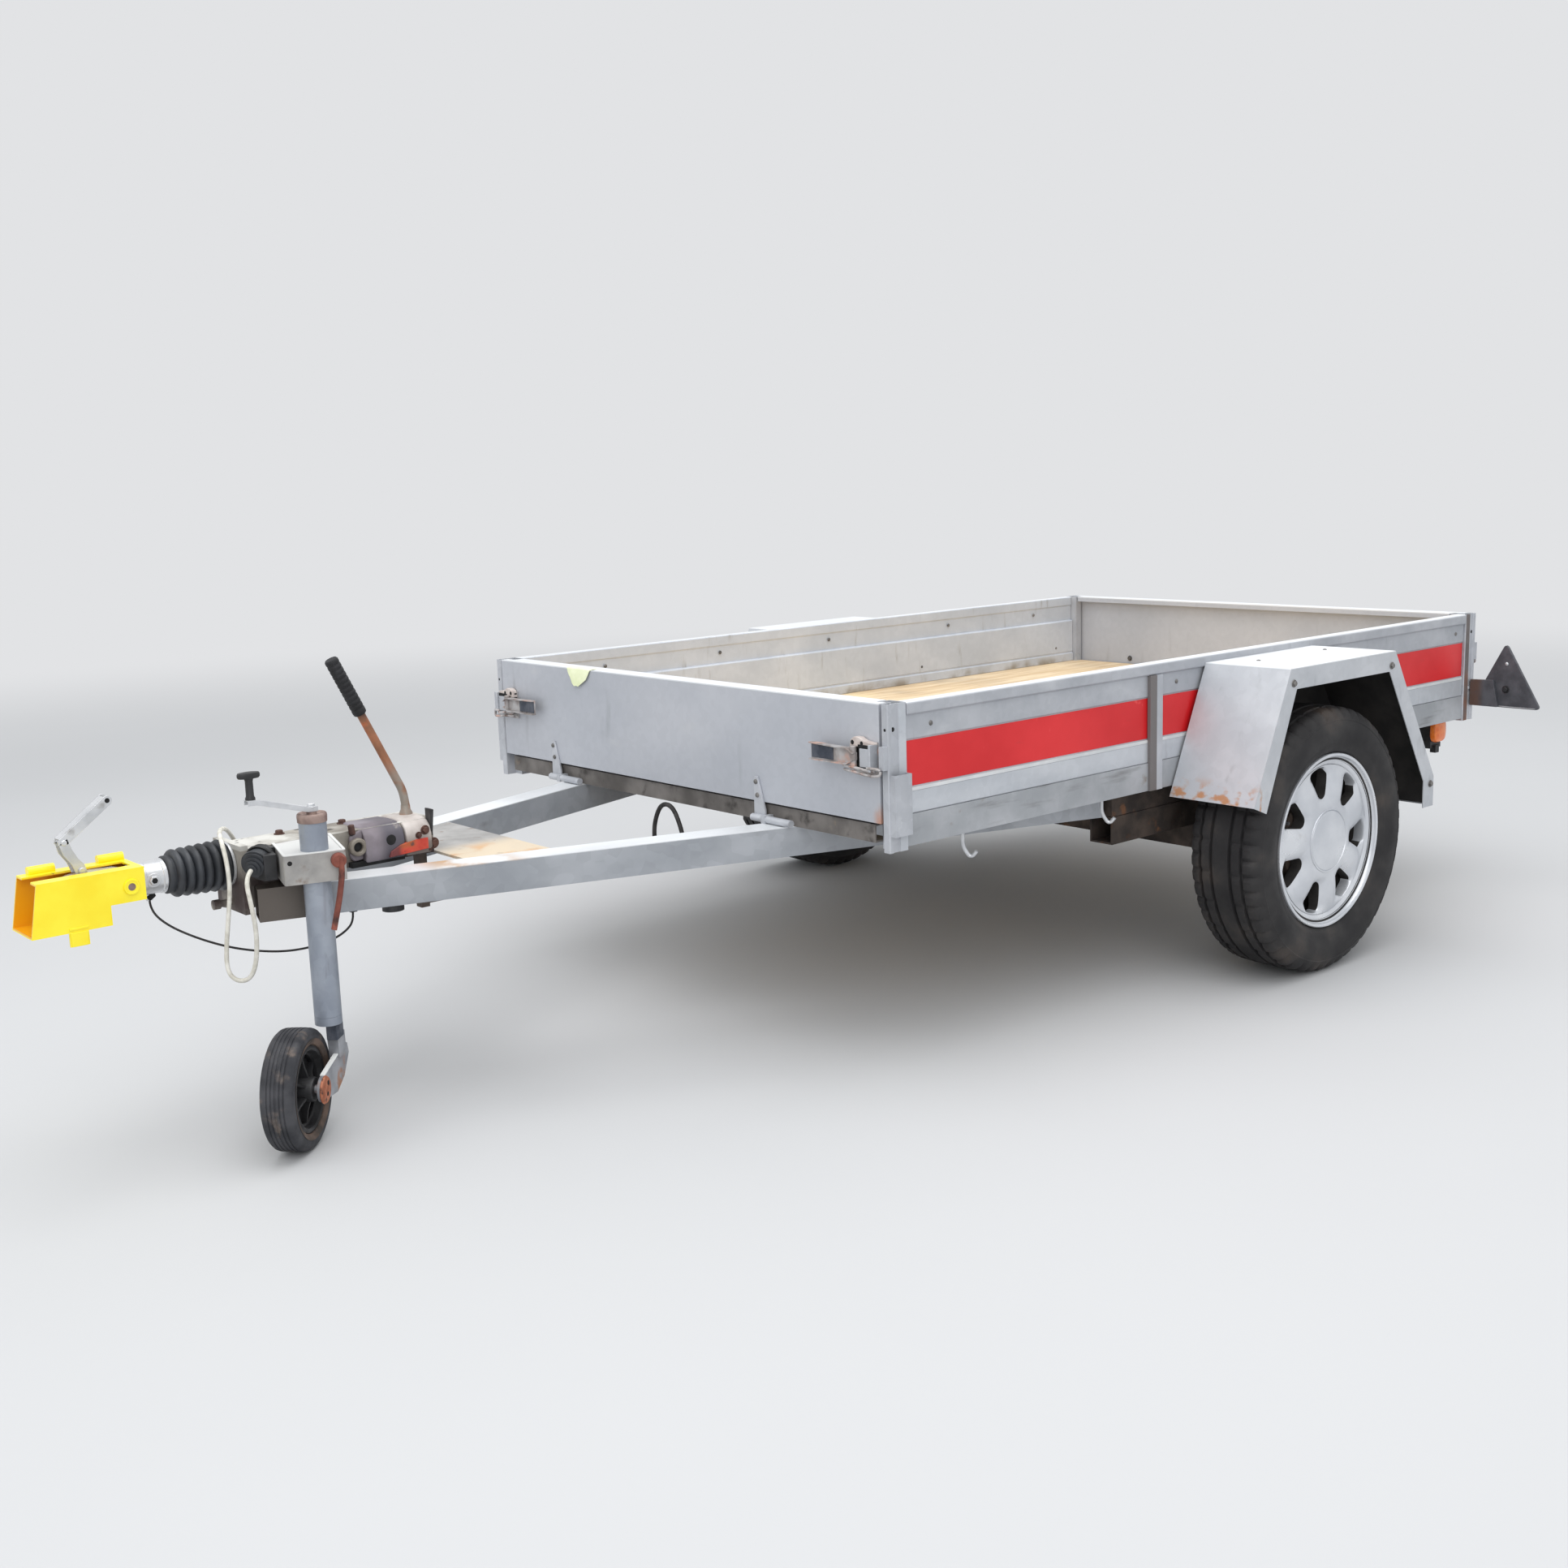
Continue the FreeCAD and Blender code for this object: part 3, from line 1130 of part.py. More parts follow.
def caster():
    """One-armed fork, axle and wheel, headed caster_turn from straight ahead."""
    y = s.jockey_out
    turn = Rotation(Vector(0, 0, 1), s.caster_turn.number)
    near, far = s.fork_wall / 2, -s.fork_wall / 2
    axle_z = s.caster_radius
    top = s.jockey_foot - s.fork_drop
    disc = s.jockey_radius - s.jockey_wall - s.pin_clearance
    trail = s.caster_trail
    low, bend = axle_z - s.fork_low, axle_z + s.fork_bend
    outer = trail + s.fork_foot + 2
    outline_points = ((trail - s.fork_foot, low), (trail + s.fork_foot, low), (outer, bend),
                      (s.fork_shoulder, top), (-disc, top), (-disc, top - s.fork_root))
    plate = profile("fork_plate", "XZ", outline_points, (far, near))
    edge_points = ((outer - s.fork_edge_width, bend), (outer, bend), (s.fork_shoulder, top),
                   (s.fork_shoulder - s.fork_edge_width, top))
    flange = profile("fork_edge", "XZ", edge_points, (far, near + s.fork_flange))
    crown = rod("fork_crown", "z", disc, (top - s.fork_wall, top), ZERO, ZERO)
    tube = rod("fork_tube", "z", disc, (top, s.jockey_foot + s.inner_rise), ZERO, ZERO)
    middle = far - s.fork_gap - s.caster_width / 2
    axle = rod("fork_axle", "y", s.caster_axle,
               (middle - s.caster_width / 2 - 8, near + 14), trail, axle_z)
    fork = join("jockey_fork", plate, flange, crown, tube, axle)
    fork.Placement = Placement(Vector(), turn)
    keep(put(fork, jockey_x, y, ZERO))
    halfway = s.caster_width / 2
    bead = s.caster_bead + s.fit_gap
    ring = ((bead, halfway - 8), (bead + 8, halfway), (s.caster_radius - 12, halfway),
            (s.caster_radius, halfway - 12))
    tyre = turned("jockey_tyre", ring + tuple((r, -v) for r, v in reversed(ring)),
                  None, None, None, turn)
    inner = s.caster_axle + s.pin_clearance
    hub_section = ((inner, halfway + 4), (inner + 12, halfway + 4), (inner + 12, halfway - 14),
                   (s.caster_bead - 8, halfway - 14), (s.caster_bead - 4, halfway - 6),
                   (s.caster_bead, halfway - 6))
    hub = turned("jockey_hub", hub_section + tuple((r, -v) for r, v in reversed(hub_section)),
                 None, None, None, turn)
    sine, cosine = sine_of(s.caster_turn), cosine_of(s.caster_turn)
    for item in (tyre, hub):
        put(item, jockey_x + trail * cosine - middle * sine,
            y + trail * sine + middle * cosine, axle_z)
        keep(item)


# Lamps, reflectors, number plate

def rear_lights():
    lens = rear + s.lamp_inset
    lamps, reflectors = [], []
    for side, sign in SIDES:
        outer = sill_face - s.sill_width - s.fit_gap
        lamps.append(block(f"rear_lamp_{side}", (lens, lens + s.lamp_depth),
                           (sign * (outer - s.lamp_length), sign * outer),
                           (s.cross_bottom - s.lamp_height, s.cross_bottom)))
        middle = half + s.triangle_out
        reach = s.triangle_side / 2
        top = s.triangle_foot + s.triangle_side * 0.866
        points = ((sign * (middle - reach), s.triangle_foot),
                  (sign * (middle + reach), s.triangle_foot), (sign * middle, top))
        back = rear + s.triangle_thickness
        triangle = profile(f"reflector_{side}_triangle", "YZ", points, (rear, back))
        bracket = block(f"reflector_{side}_bracket", (back, back + s.bracket_depth),
                        (sign * half, sign * (middle + s.bracket_past)),
                        (s.triangle_foot, s.triangle_foot + s.bracket_height))
        reflectors.append(join(f"reflector_{side}", triangle, bracket))
    keep(group("rear_lamps", *lamps))
    keep(group("rear_reflectors", *reflectors))
    back = rear + s.plate_inset
    keep(block("number_plate", (back, back + s.plate_sheet), (-s.plate_width / 2, s.plate_width / 2),
               (s.cross_bottom - s.plate_height, s.cross_bottom)))


# Cables, plug, hooks. Routes are (x ahead of the front gate face, y, z).

TRAILER_CABLE = (
    (915, -62, 470), (915, -88, 470), (922, -102, 494), (938, -94, 522), (958, -68, 538),
    (980, -34, 543), (998, 4, 543), (1008, 38, 532), (1012, 62, 500), (1014, 70, 458),
    (1022, 71, 408), (1031, 72, 358), (1035, 75, 316), (1027, 88, 298), (1012, 105, 298),
    (1003, 117, 316), (999, 126, 352), (1001, 134, 396), (1007, 137, 440), (1008.7, 125.1, 484),
    (990, 109, 492),
)
BREAKAWAY_CABLE = (
    (1130, 0, 447), (1130, 0, 428), (1108, 13, 400), (1066, 26, 372), (1016, 38, 347),
    (966, 50, 331), (918, 64, 323), (874, 80, 326), (842, 91, 334), (818, 99, 347),
    (804, 104, 364), (804, 104, 382),
)
CONDUIT = (
    (86.3, 291.6, 420), (79.6, 270.7, 420), (71, 238, 402), (60, 198, 372), (44, 154, 354),
    (28, 112, 345), (15, 78, 346), (10, 56, 368), (10, 46, 405), (10, 20, 446.3),
    (10, -20, 446.3), (10, -46, 405), (8, -54, 366), (0, -58, 330), (-22, -60, 304),
    (-60, -60, 292), (-140, -60, 290), (-230, -60, 304), (-320, -60, 328), (-400, -60, 354),
    (-470, -60, 376), (-526, -57, 394), (-555, -57, 416), (-555, -57, 450),
)
PLUG_AXIS = (0.72, 0.62, -0.31)


def cable(label, points, radius):
    start = front.number
    keep(along_route(label, [(start + x, y, z) for x, y, z in points], radius.number))


def cables():
    cable("trailer_cable", TRAILER_CABLE, s.cable_radius)
    cable("breakaway_cable", BREAKAWAY_CABLE, s.thin_cable_radius)
    cable("wiring_conduit", CONDUIT, s.conduit_radius)
    axis = Vector(*PLUG_AXIS)
    axis.normalize()
    x, y, z = TRAILER_CABLE[-1]
    tip = Vector(front.number + x, y, z)
    relief, body, seat = (s.relief_length.number, s.plug_length.number, s.holder_length.number)
    plug = doc.addObject("Part::Feature", "connector_plug")
    cone = Part.makeCone(s.plug_radius.number * 0.6, (s.cable_radius + s.relief_neck).number, relief,
                         tip - axis * relief, axis)
    barrel = Part.makeCylinder(s.plug_radius.number, body, tip - axis * (relief + body), axis)
    plug.Shape = cone.fuse(barrel)
    keep(plug)
    cup_foot = tip - axis * (relief + body + seat)
    cup = Part.makeCylinder(s.holder_radius.number, seat, cup_foot, axis)
    wall = s.head_width.number / 2
    size = s.bracket_size.number
    bracket = Part.makeBox(size, cup_foot.y + s.bracket_overlap.number - wall, size,
                           Vector(cup_foot.x - s.bracket_back.number, wall, cup_foot.z - size / 2))
    span = s.head_width.number
    housing = Part.makeBox(span, wall, span, Vector(cup_foot.x - span / 2, 0, cup_foot.z - span / 2))
    gland_x, gland_y, gland_z = TRAILER_CABLE[0]
    gland = Part.makeCylinder(s.gland_radius.number, -gland_y - wall,
                              Vector(front.number + gland_x, -wall, gland_z), Vector(0, -1, 0))
    loom_x, loom_y, loom_z = CONDUIT[0]
    reach = s.gland_length.number
    inward = Vector(-sine_of(s.arm_angle).number, -cosine_of(s.arm_angle).number, 0)
    loom_end = Vector(front.number + loom_x, loom_y, loom_z)
    loom_gland = Part.makeCylinder(s.gland_radius.number, reach, loom_end - inward * reach, inward)
    clip_x, clip_y, clip_z = BREAKAWAY_CABLE[-1]
    clip_size = s.clip_size.number
    clip = Part.makeBox(clip_size, clip_size, arm_foot.number - clip_z,
                        Vector(front.number + clip_x - clip_size / 2, clip_y - clip_size / 2, clip_z))
    holder = doc.addObject("Part::Feature", "cable_fittings")
    holder.Shape = Part.makeCompound([cup.fuse(bracket).cut(housing), gland, loom_gland, clip])
    keep(holder)


def tie_hooks():
    hooks = []
    foot = s.side_sill_bottom.number
    for side, sign in SIDES:
        root_y = (sill_face - s.sill_width / 2).number
        bend_y, tip_y = root_y + s.hook_bend_out.number, root_y + s.hook_tip_out.number
        for number in range(2):
            hook_x = (front - s.hook_front - number * s.hook_step).number
            points = [(hook_x, sign * root_y, foot),
                      (hook_x, sign * root_y, foot - s.hook_shank.number),
                      (hook_x - s.hook_bend_back.number, sign * bend_y, foot - s.hook_drop.number),
                      (hook_x - s.hook_tip_back.number, sign * tip_y, foot - s.hook_tip.number)]
            hooks.append(along_route(f"tie_hook_{side}_{number}", points, s.hook_radius.number))
    keep(group("tie_hooks", *hooks))


def check(items):
    for item in doc.Objects:
        if "Invalid" in item.State or "Error" in item.State:
            raise RuntimeError(f"{item.Label} failed: {item.State}")
    for item in items:
        if item.Shape.isNull() or not item.Shape.isValid():
            raise RuntimeError(f"{item.Label} has no valid shape")


def main():
    floor_frame()
    sides()
    gates()
    mudguards()
    drawbar()
    handbrake()
    running_gear()
    road_wheels()
    jockey()
    rear_lights()
    cables()
    tie_hooks()
    doc.recompute()
    check(nodes)
    os.makedirs("parts", exist_ok=True)
    for item in nodes:
        item.Shape.exportStep(f"parts/{item.Label}.step")
    print(len(nodes), "nodes")


main()
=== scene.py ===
import math

import bmesh
import bpy
from mathutils import Matrix, Vector


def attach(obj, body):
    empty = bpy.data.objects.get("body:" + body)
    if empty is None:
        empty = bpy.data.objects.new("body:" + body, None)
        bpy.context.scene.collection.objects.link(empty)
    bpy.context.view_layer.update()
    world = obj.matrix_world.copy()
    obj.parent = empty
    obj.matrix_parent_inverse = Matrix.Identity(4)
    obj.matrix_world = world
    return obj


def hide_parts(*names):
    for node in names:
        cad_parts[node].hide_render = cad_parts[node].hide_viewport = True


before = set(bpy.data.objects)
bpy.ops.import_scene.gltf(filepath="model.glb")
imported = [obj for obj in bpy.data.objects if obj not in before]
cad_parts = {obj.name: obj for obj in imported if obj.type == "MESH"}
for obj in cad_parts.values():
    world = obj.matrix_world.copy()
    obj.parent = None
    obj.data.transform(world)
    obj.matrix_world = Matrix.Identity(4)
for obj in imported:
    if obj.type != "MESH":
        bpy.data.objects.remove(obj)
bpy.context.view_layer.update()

# Looks of the utility trailer. Sizes are millimetres: +X to the coupling, +Y to the trailer's
# left, +Z up. Pieces become metres when they are made.

FRONT, REAR = 418.5, -1731.5            # outer faces of the gates
WHEEL = (-741.5, 794.0, 298.0)          # middle of the left road wheel
CAP_RADIUS, FACE_RADIUS = 71.5, 168.5   # the seven spokes lie between these
WINDOW_MIDDLE = 134                     # from the wheel's axis
JOCKEY = (1310.5, 156.0)                # axis of the jockey tube
FORK_TURN, HUB_HEIGHT = math.radians(45), 107.5     # heading and height of the small wheel
HINGE_HEIGHT, LATCH_HEIGHT, SHAFT_HEIGHT = 458, 616, 487
SIDES = (("left", 1), ("right", -1))
ENDS = (("front", 1), ("rear", -1))
X_AXIS, Y_AXIS, Z_AXIS = Vector((1, 0, 0)), Vector((0, 1, 0)), Vector((0, 0, 1))


# Materials

def rgb(red, green, blue):
    """A screen colour, 0 to 255, as Blender's linear colour."""
    linear = [((v / 255 + 0.055) / 1.055) ** 2.4 if v > 10 else v / 3295
              for v in (red, green, blue)]
    return (*linear, 1.0)


EVEN = (1, 1, 1)
BLOTCH = (0.3, 0.7)                     # where the noise turns from dark to light
COAT_DETAIL, GRAIN_DETAIL = 8.0, 3.0
SPANGLE_SHADE = 0.72                    # of the dark tone
MIX_SHARE, MIX_FIRST, MIX_SECOND, MIX_COLOUR = 0, 6, 7, 2       # sockets of a mix node


class Finish:
    """A node material made of layers over the object's own coordinates."""

    def __init__(self, name, metal=0.0, **sockets):
        self.material = bpy.data.materials.new(name)
        self.material.use_nodes = True
        self.tree = self.material.node_tree
        self.shader = self.tree.nodes["Principled BSDF"]
        self.shader.inputs["Metallic"].default_value = metal
        for socket, value in sockets.items():
            self.shader.inputs[socket.replace("_", " ")].default_value = value
        self.place = self.add("ShaderNodeTexCoord").outputs["Object"]

    def add(self, kind, **settings):
        node = self.tree.nodes.new(kind)
        for key, value in settings.items():
            setattr(node, key, value)
        return node

    def join(self, source, target):
        if isinstance(source, (int, float, tuple)):
            target.default_value = source
        else:
            self.tree.links.new(source, target)

    def noise(self, scale, stretch=EVEN, detail=5.0):
        mapping = self.add("ShaderNodeMapping")
        mapping.inputs["Scale"].default_value = stretch
        self.join(self.place, mapping.inputs["Vector"])
        noise = self.add("ShaderNodeTexNoise")
        noise.inputs["Scale"].default_value = scale
        noise.inputs["Detail"].default_value = detail
        self.join(mapping.outputs["Vector"], noise.inputs["Vector"])
        return noise.outputs["Fac"]

    def cells(self, scale):
        cells = self.add("ShaderNodeTexVoronoi")
        cells.inputs["Scale"].default_value = scale
        self.join(self.place, cells.inputs["Vector"])
        return cells.outputs["Color"]

    def spread(self, value, low, high, to_low=0.0, to_high=1.0):
        spread = self.add("ShaderNodeMapRange", interpolation_type="SMOOTHSTEP")
        self.join(value, spread.inputs["Value"])
        for socket, number in (("From Min", low), ("From Max", high), ("To Min", to_low),
                               ("To Max", to_high)):
            spread.inputs[socket].default_value = number
        return spread.outputs["Result"]

    def times(self, first, second):
        times = self.add("ShaderNodeMath", operation="MULTIPLY")
        self.join(first, times.inputs[0])
        self.join(second, times.inputs[1])
        return times.outputs[0]

    def mix(self, first, second, share):
        mix = self.add("ShaderNodeMix", data_type="RGBA")
        self.join(share, mix.inputs[MIX_SHARE])
        self.join(first, mix.inputs[MIX_FIRST])
        self.join(second, mix.inputs[MIX_SECOND])
        return mix.outputs[MIX_COLOUR]

    def along(self, axis, start, full):
        """From 0 at start to 1 at full, in metres along an axis."""
        split = self.add("ShaderNodeSeparateXYZ")
        self.join(self.place, split.inputs[0])
        return self.spread(split.outputs[axis], start, full)

    def bump(self, height, strength, distance=0.001):
        bump = self.add("ShaderNodeBump")
        bump.inputs["Strength"].default_value = strength
        bump.inputs["Distance"].default_value = distance
        self.join(height, bump.inputs["Height"])
        self.join(bump.outputs["Normal"], self.shader.inputs["Normal"])


def coat(shade, scale, low, high, *places, stretch=EVEN):
    """Dirt, rust, wear, and painted light and shade, where a noise passes low; a place is (axis,
    start, full) in metres.
    """
    return shade, scale, low, high, stretch, places


def painted(shade, *places):
    """A coat without gaps: a noise is never below the range given here."""
    return coat(shade, 5, -1, -0.5, *places)


def finish(name, dark, light, scale, rough=(0.4, 0.6), metal=0.0, *coats, stretch=EVEN,
           bump=(300, 0.15), spangle=None, **sockets):
    """Two shades blended by a noise, with a grain, zinc crystals if asked, and coats on top."""
    made = Finish(name, metal, **sockets)
    blotch = made.noise(scale, stretch)
    colour = made.mix(rgb(*dark), rgb(*light), made.spread(blotch, *BLOTCH))
    if spangle:
        size, amount = spangle
        share = made.spread(made.cells(size), 0.2, 0.8, 0.0, amount)
        colour = made.mix(colour, rgb(*[v * SPANGLE_SHADE for v in dark]), share)
    for shade, grain, low, high, run, places in coats:
        share = made.spread(made.noise(grain, run, COAT_DETAIL), low, high)
        for axis, start, full in places:
            share = made.times(share, made.along(axis, start, full))
        colour = made.mix(colour, rgb(*shade), share)
    made.join(colour, made.shader.inputs["Base Color"])
    made.join(made.spread(blotch, *BLOTCH, rough[1], rough[0]), made.shader.inputs["Roughness"])
    made.bump(made.noise(bump[0], stretch, GRAIN_DETAIL), bump[1])
    return made.material


UP = (6, 6, 1)          # streaks that run down
ALONG = (1, 8, 8)       # grain that runs along the trailer

# painted highlight: near-white along the sheets' top edges, where light from above falls
PAINTED_TOP_HIGHLIGHT = painted((222, 224, 227), (2, 0.713, 0.7145))
sheet_metal = finish(
    "sheet_metal", (171, 174, 180), (187, 189, 194), 6, (0.42, 0.56), 0.3,
    coat((132, 134, 137), 9, 0.62, 0.9, stretch=UP),
    coat((202, 204, 207), 5, 0.6, 0.8, stretch=(1, 1, 3)), PAINTED_TOP_HIGHLIGHT, stretch=(1, 1, 1.6),
    bump=(420, 0.08), spangle=(70, 0.08))
# painted light: the faces inside the box get a lighter, bluer copy of the sheet; browner towards
# the floor
inner_sheet_painted_light = finish(
    "inner_sheet_painted_light", (188, 193, 201), (204, 208, 215), 5, (0.42, 0.56), 0.2,
    coat((150, 148, 144), 9, 0.6, 0.88, stretch=(5, 5, 1)),
    coat((150, 142, 130), 16, 0.4, 0.7, (2, 0.545, 0.515)), stretch=(1, 1, 1.6), bump=(420, 0.08),
    spangle=(70, 0.06))
gate_metal = finish(
    "gate_metal", (181, 184, 191), (193, 195, 201), 3, (0.44, 0.56), 0.3,
    coat((138, 140, 144), 6, 0.62, 0.95, stretch=(4, 4, 0.7)),
    coat((196, 197, 200), 7, 0.62, 0.85, stretch=(1, 1, 2)),
    coat((190, 148, 130), 16, 0.36, 0.6, (2, 0.535, 0.5), (1, 0.62, 0.648)), PAINTED_TOP_HIGHLIGHT,
    stretch=(1, 1, 1.4), bump=(420, 0.07), spangle=(80, 0.06))
red_stripe = finish(
    "red_stripe", (204, 22, 28), (222, 38, 42), 5, (0.34, 0.46), 0.0,
    coat((176, 36, 38), 12, 0.62, 0.9, stretch=(1, 1, 4)), coat((236, 96, 92), 40, 0.68, 0.82),
    bump=(300, 0.04))
# painted highlight: the bead's pale tone stands for light on the ledge's upward face
bead_highlight = finish("bead_highlight", (204, 206, 208), (226, 227, 227), 12, (0.4, 0.55), 0.15)
pale_sheet = finish(
    "pale_sheet", (186, 190, 196), (202, 205, 210), 5, (0.38, 0.52), 0.3,
    coat((158, 160, 163), 7, 0.62, 0.9, stretch=UP), stretch=(1, 1, 3), bump=(420, 0.08),
    spangle=(70, 0.07))
galvanised = finish(
    "galvanised", (176, 179, 185), (198, 200, 205), 8, (0.38, 0.52), 0.35,
    coat((120, 118, 116), 12, 0.64, 0.86), coat((212, 214, 216), 26, 0.62, 0.78), bump=(260, 0.1),
    spangle=(55, 0.14))
drawbar_metal = finish(
    "drawbar_metal", (152, 156, 162), (178, 181, 186), 7, (0.36, 0.54), 0.35,
    coat((112, 112, 112), 9, 0.6, 0.88, stretch=(1, 1, 2)),
    # painted highlight: near-white over the arms' top face
    painted((232, 234, 236), (2, 0.4475, 0.4495)),
    coat((202, 160, 116), 12, 0.42, 0.62, (0, 0.9, 1.0), (0, 1.12, 1.04), (2, 0.446, 0.4495)),
    painted((100, 93, 87), (0, 1.255, 1.31)), stretch=(0.6, 1, 1), bump=(240, 0.12),
    spangle=(45, 0.14))
gusset_metal = finish(
    "gusset_metal", (150, 148, 146), (176, 174, 172), 14, (0.5, 0.7), 0.2,
    coat((216, 200, 176), 6, 0.1, 0.4, (1, 0.0, 0.09)),
    coat((208, 164, 118), 12, 0.5, 0.64, (1, 0.02, 0.1)), coat((126, 108, 94), 30, 0.62, 0.78),
    bump=(180, 0.3))
guard_metal = finish(
    "guard_metal", (186, 189, 194), (203, 205, 209), 6, (0.4, 0.55), 0.3,
    coat((146, 148, 151), 10, 0.62, 0.9, stretch=(3, 3, 1)),
    # painted highlight: near-white along the guards' top face
    painted((226, 228, 230), (2, 0.6975, 0.6992)),
    coat((188, 138, 102), 34, 0.5, 0.66, (2, 0.475, 0.43), (0, -0.475, -0.44), stretch=(3, 1, 1)),
    bump=(260, 0.1), spangle=(60, 0.08))
# painted shade: near-black for the walls inside the arches, which lie in deep shade
guard_arch_shade = finish("guard_arch_shade", (30, 29, 29), (52, 49, 47), 14, (0.75, 0.9))
sill_metal = finish(
    "sill_metal", (160, 163, 167), (184, 186, 190), 8, (0.45, 0.6), 0.3,
    coat((124, 124, 124), 7, 0.58, 0.86, stretch=ALONG), coat((134, 118, 102), 20, 0.66, 0.8),
    bump=(200, 0.12), spangle=(50, 0.08))
end_sill_metal = finish(
    "end_sill_metal", (88, 84, 81), (124, 119, 115), 12, (0.6, 0.8), 0.15,
    coat((62, 58, 55), 22, 0.56, 0.72), coat((142, 124, 108), 30, 0.62, 0.76), bump=(180, 0.35))
# painted shade: dark fill for the hollow tops of the corner posts, with darker blotches
post_hollow_shade = finish(
    "post_hollow_shade", (84, 82, 80), (128, 126, 124), 14, (0.6, 0.8), 0.25,
    coat((52, 48, 46), 22, 0.5, 0.68), bump=(180, 0.4))
latch_metal = finish(
    "latch_metal", (142, 132, 128), (196, 194, 194), 34, (0.35, 0.55), 0.4,
    coat((96, 68, 56), 44, 0.58, 0.72), coat((206, 170, 156), 26, 0.56, 0.7), bump=(240, 0.25))
latch_pink = finish(
    "latch_pink", (190, 176, 170), (216, 206, 200), 50, (0.5, 0.7), 0.2,
    coat((132, 104, 92), 40, 0.64, 0.78), bump=(240, 0.25))
latch_inside = finish("latch_inside", (58, 64, 76), (92, 96, 106), 40, (0.5, 0.7), 0.2)
rust_orange = finish(
    "rust_orange", (148, 84, 58), (186, 118, 88), 60, (0.65, 0.85), 0.1,
    coat((74, 50, 42), 80, 0.56, 0.7), bump=(260, 0.5))
rusty_steel = finish(
    "rusty_steel", (52, 46, 43), (88, 76, 68), 16, (0.65, 0.85), 0.2,
    coat((122, 84, 58), 24, 0.58, 0.74), coat((34, 32, 31), 12, 0.5, 0.75), bump=(160, 0.5))
rust_red = finish(
    "rust_red", (108, 58, 50), (148, 84, 68), 30, (0.6, 0.8), 0.2,
    coat((72, 46, 42), 40, 0.55, 0.7), bump=(240, 0.5))
zinc_steel = finish(
    "zinc_steel", (186, 188, 191), (224, 225, 227), 18, (0.24, 0.4), 0.6,
    coat((140, 136, 130), 28, 0.62, 0.82), bump=(300, 0.06))
# painted highlight: near-white strip along the jockey plate's top edge
plate_edge_highlight = finish("plate_edge_highlight", (232, 232, 230), (246, 246, 244), 30, (0.4, 0.5))
ring_rust = finish("ring_rust", (62, 55, 50), (104, 84, 72), 30, (0.6, 0.8))
bolt_metal = finish("bolt_metal", (84, 82, 80), (136, 133, 130), 60, (0.4, 0.6), 0.5)
# painted shade: near-black for holes, wells, recesses and gaps, where only shade shows
hole_and_gap_shade = finish("hole_and_gap_shade", (12, 12, 13), (26, 26, 27), 60, (0.8, 0.9))
plywood = finish(
    "plywood", (204, 176, 138), (226, 204, 170), 5, (0.65, 0.8), 0.0,
    coat((176, 142, 104), 18, 0.54, 0.76, stretch=(0.5, 12, 1)),
    coat((158, 146, 130), 4, 0.5, 0.8, (1, -0.34, -0.64)),
    coat((160, 148, 132), 5, 0.5, 0.85, (1, 0.38, 0.64)), coat((236, 214, 170), 3, 0.55, 0.75),
    stretch=(0.8, 9, 1), bump=(150, 0.2))
yellow_paint = finish(
    "yellow_paint", (252, 226, 22), (255, 238, 46), 16, (0.3, 0.42), 0.0,
    coat((226, 190, 24), 26, 0.66, 0.84), coat((120, 104, 60), 70, 0.74, 0.78),
    painted((236, 164, 14), (1, 0.0485, 0.0468), (1, -0.0485, -0.0468), (2, 0.5172, 0.5152),
            (2, 0.4285, 0.4312)), bump=(220, 0.06), Coat_Weight=0.25)
housing_paint = finish(
    "housing_paint", (128, 122, 114), (172, 166, 156), 16, (0.5, 0.7), 0.2,
    coat((74, 62, 60), 14, 0.3, 0.55, (2, 0.49, 0.455)),
    coat((216, 214, 208), 9, 0.4, 0.6, (2, 0.5165, 0.5178)), coat((62, 56, 52), 30, 0.6, 0.72),
    bump=(220, 0.3))
brake_paint = finish(
    "brake_paint", (116, 108, 113), (146, 138, 146), 14, (0.45, 0.62), 0.15,
    # painted shade: darker over the cover's lower rear part
    coat((88, 84, 92), 9, 0.2, 0.5, (0, 1.145, 1.118), (2, 0.532, 0.515)),
    coat((74, 60, 62), 26, 0.5, 0.7, (2, 0.49, 0.465)), coat((178, 168, 158), 26, 0.62, 0.76),
    bump=(220, 0.2))
collar_paint = finish(
    "collar_paint", (112, 104, 95), (146, 138, 127), 30, (0.5, 0.7), 0.15,
    coat((88, 72, 64), 36, 0.58, 0.72), bump=(240, 0.3))
warning_red = finish(
    "warning_red", (196, 62, 48), (214, 84, 62), 40, (0.45, 0.6), 0.0,
    coat((172, 92, 48), 30, 0.2, 0.6, (0, 1.062, 1.078), (2, 0.468, 0.478)),
    coat((118, 58, 58), 30, 0.2, 0.5, (0, 1.092, 1.106)), coat((112, 70, 60), 60, 0.62, 0.7),
    bump=(240, 0.1))
pale_cast = finish(
    "pale_cast", (170, 160, 154), (200, 192, 187), 26, (0.5, 0.7), 0.1,
    # the second coat is painted shade, darker towards the block's bottom
    coat((150, 132, 120), 40, 0.62, 0.76), coat((128, 118, 112), 12, 0.2, 0.6, (2, 0.5, 0.475)),
    bump=(220, 0.25))
rust_dark = finish(
    "rust_dark", (60, 40, 36), (96, 66, 56), 60, (0.6, 0.8), 0.2,
    coat((140, 112, 98), 60, 0.62, 0.74))
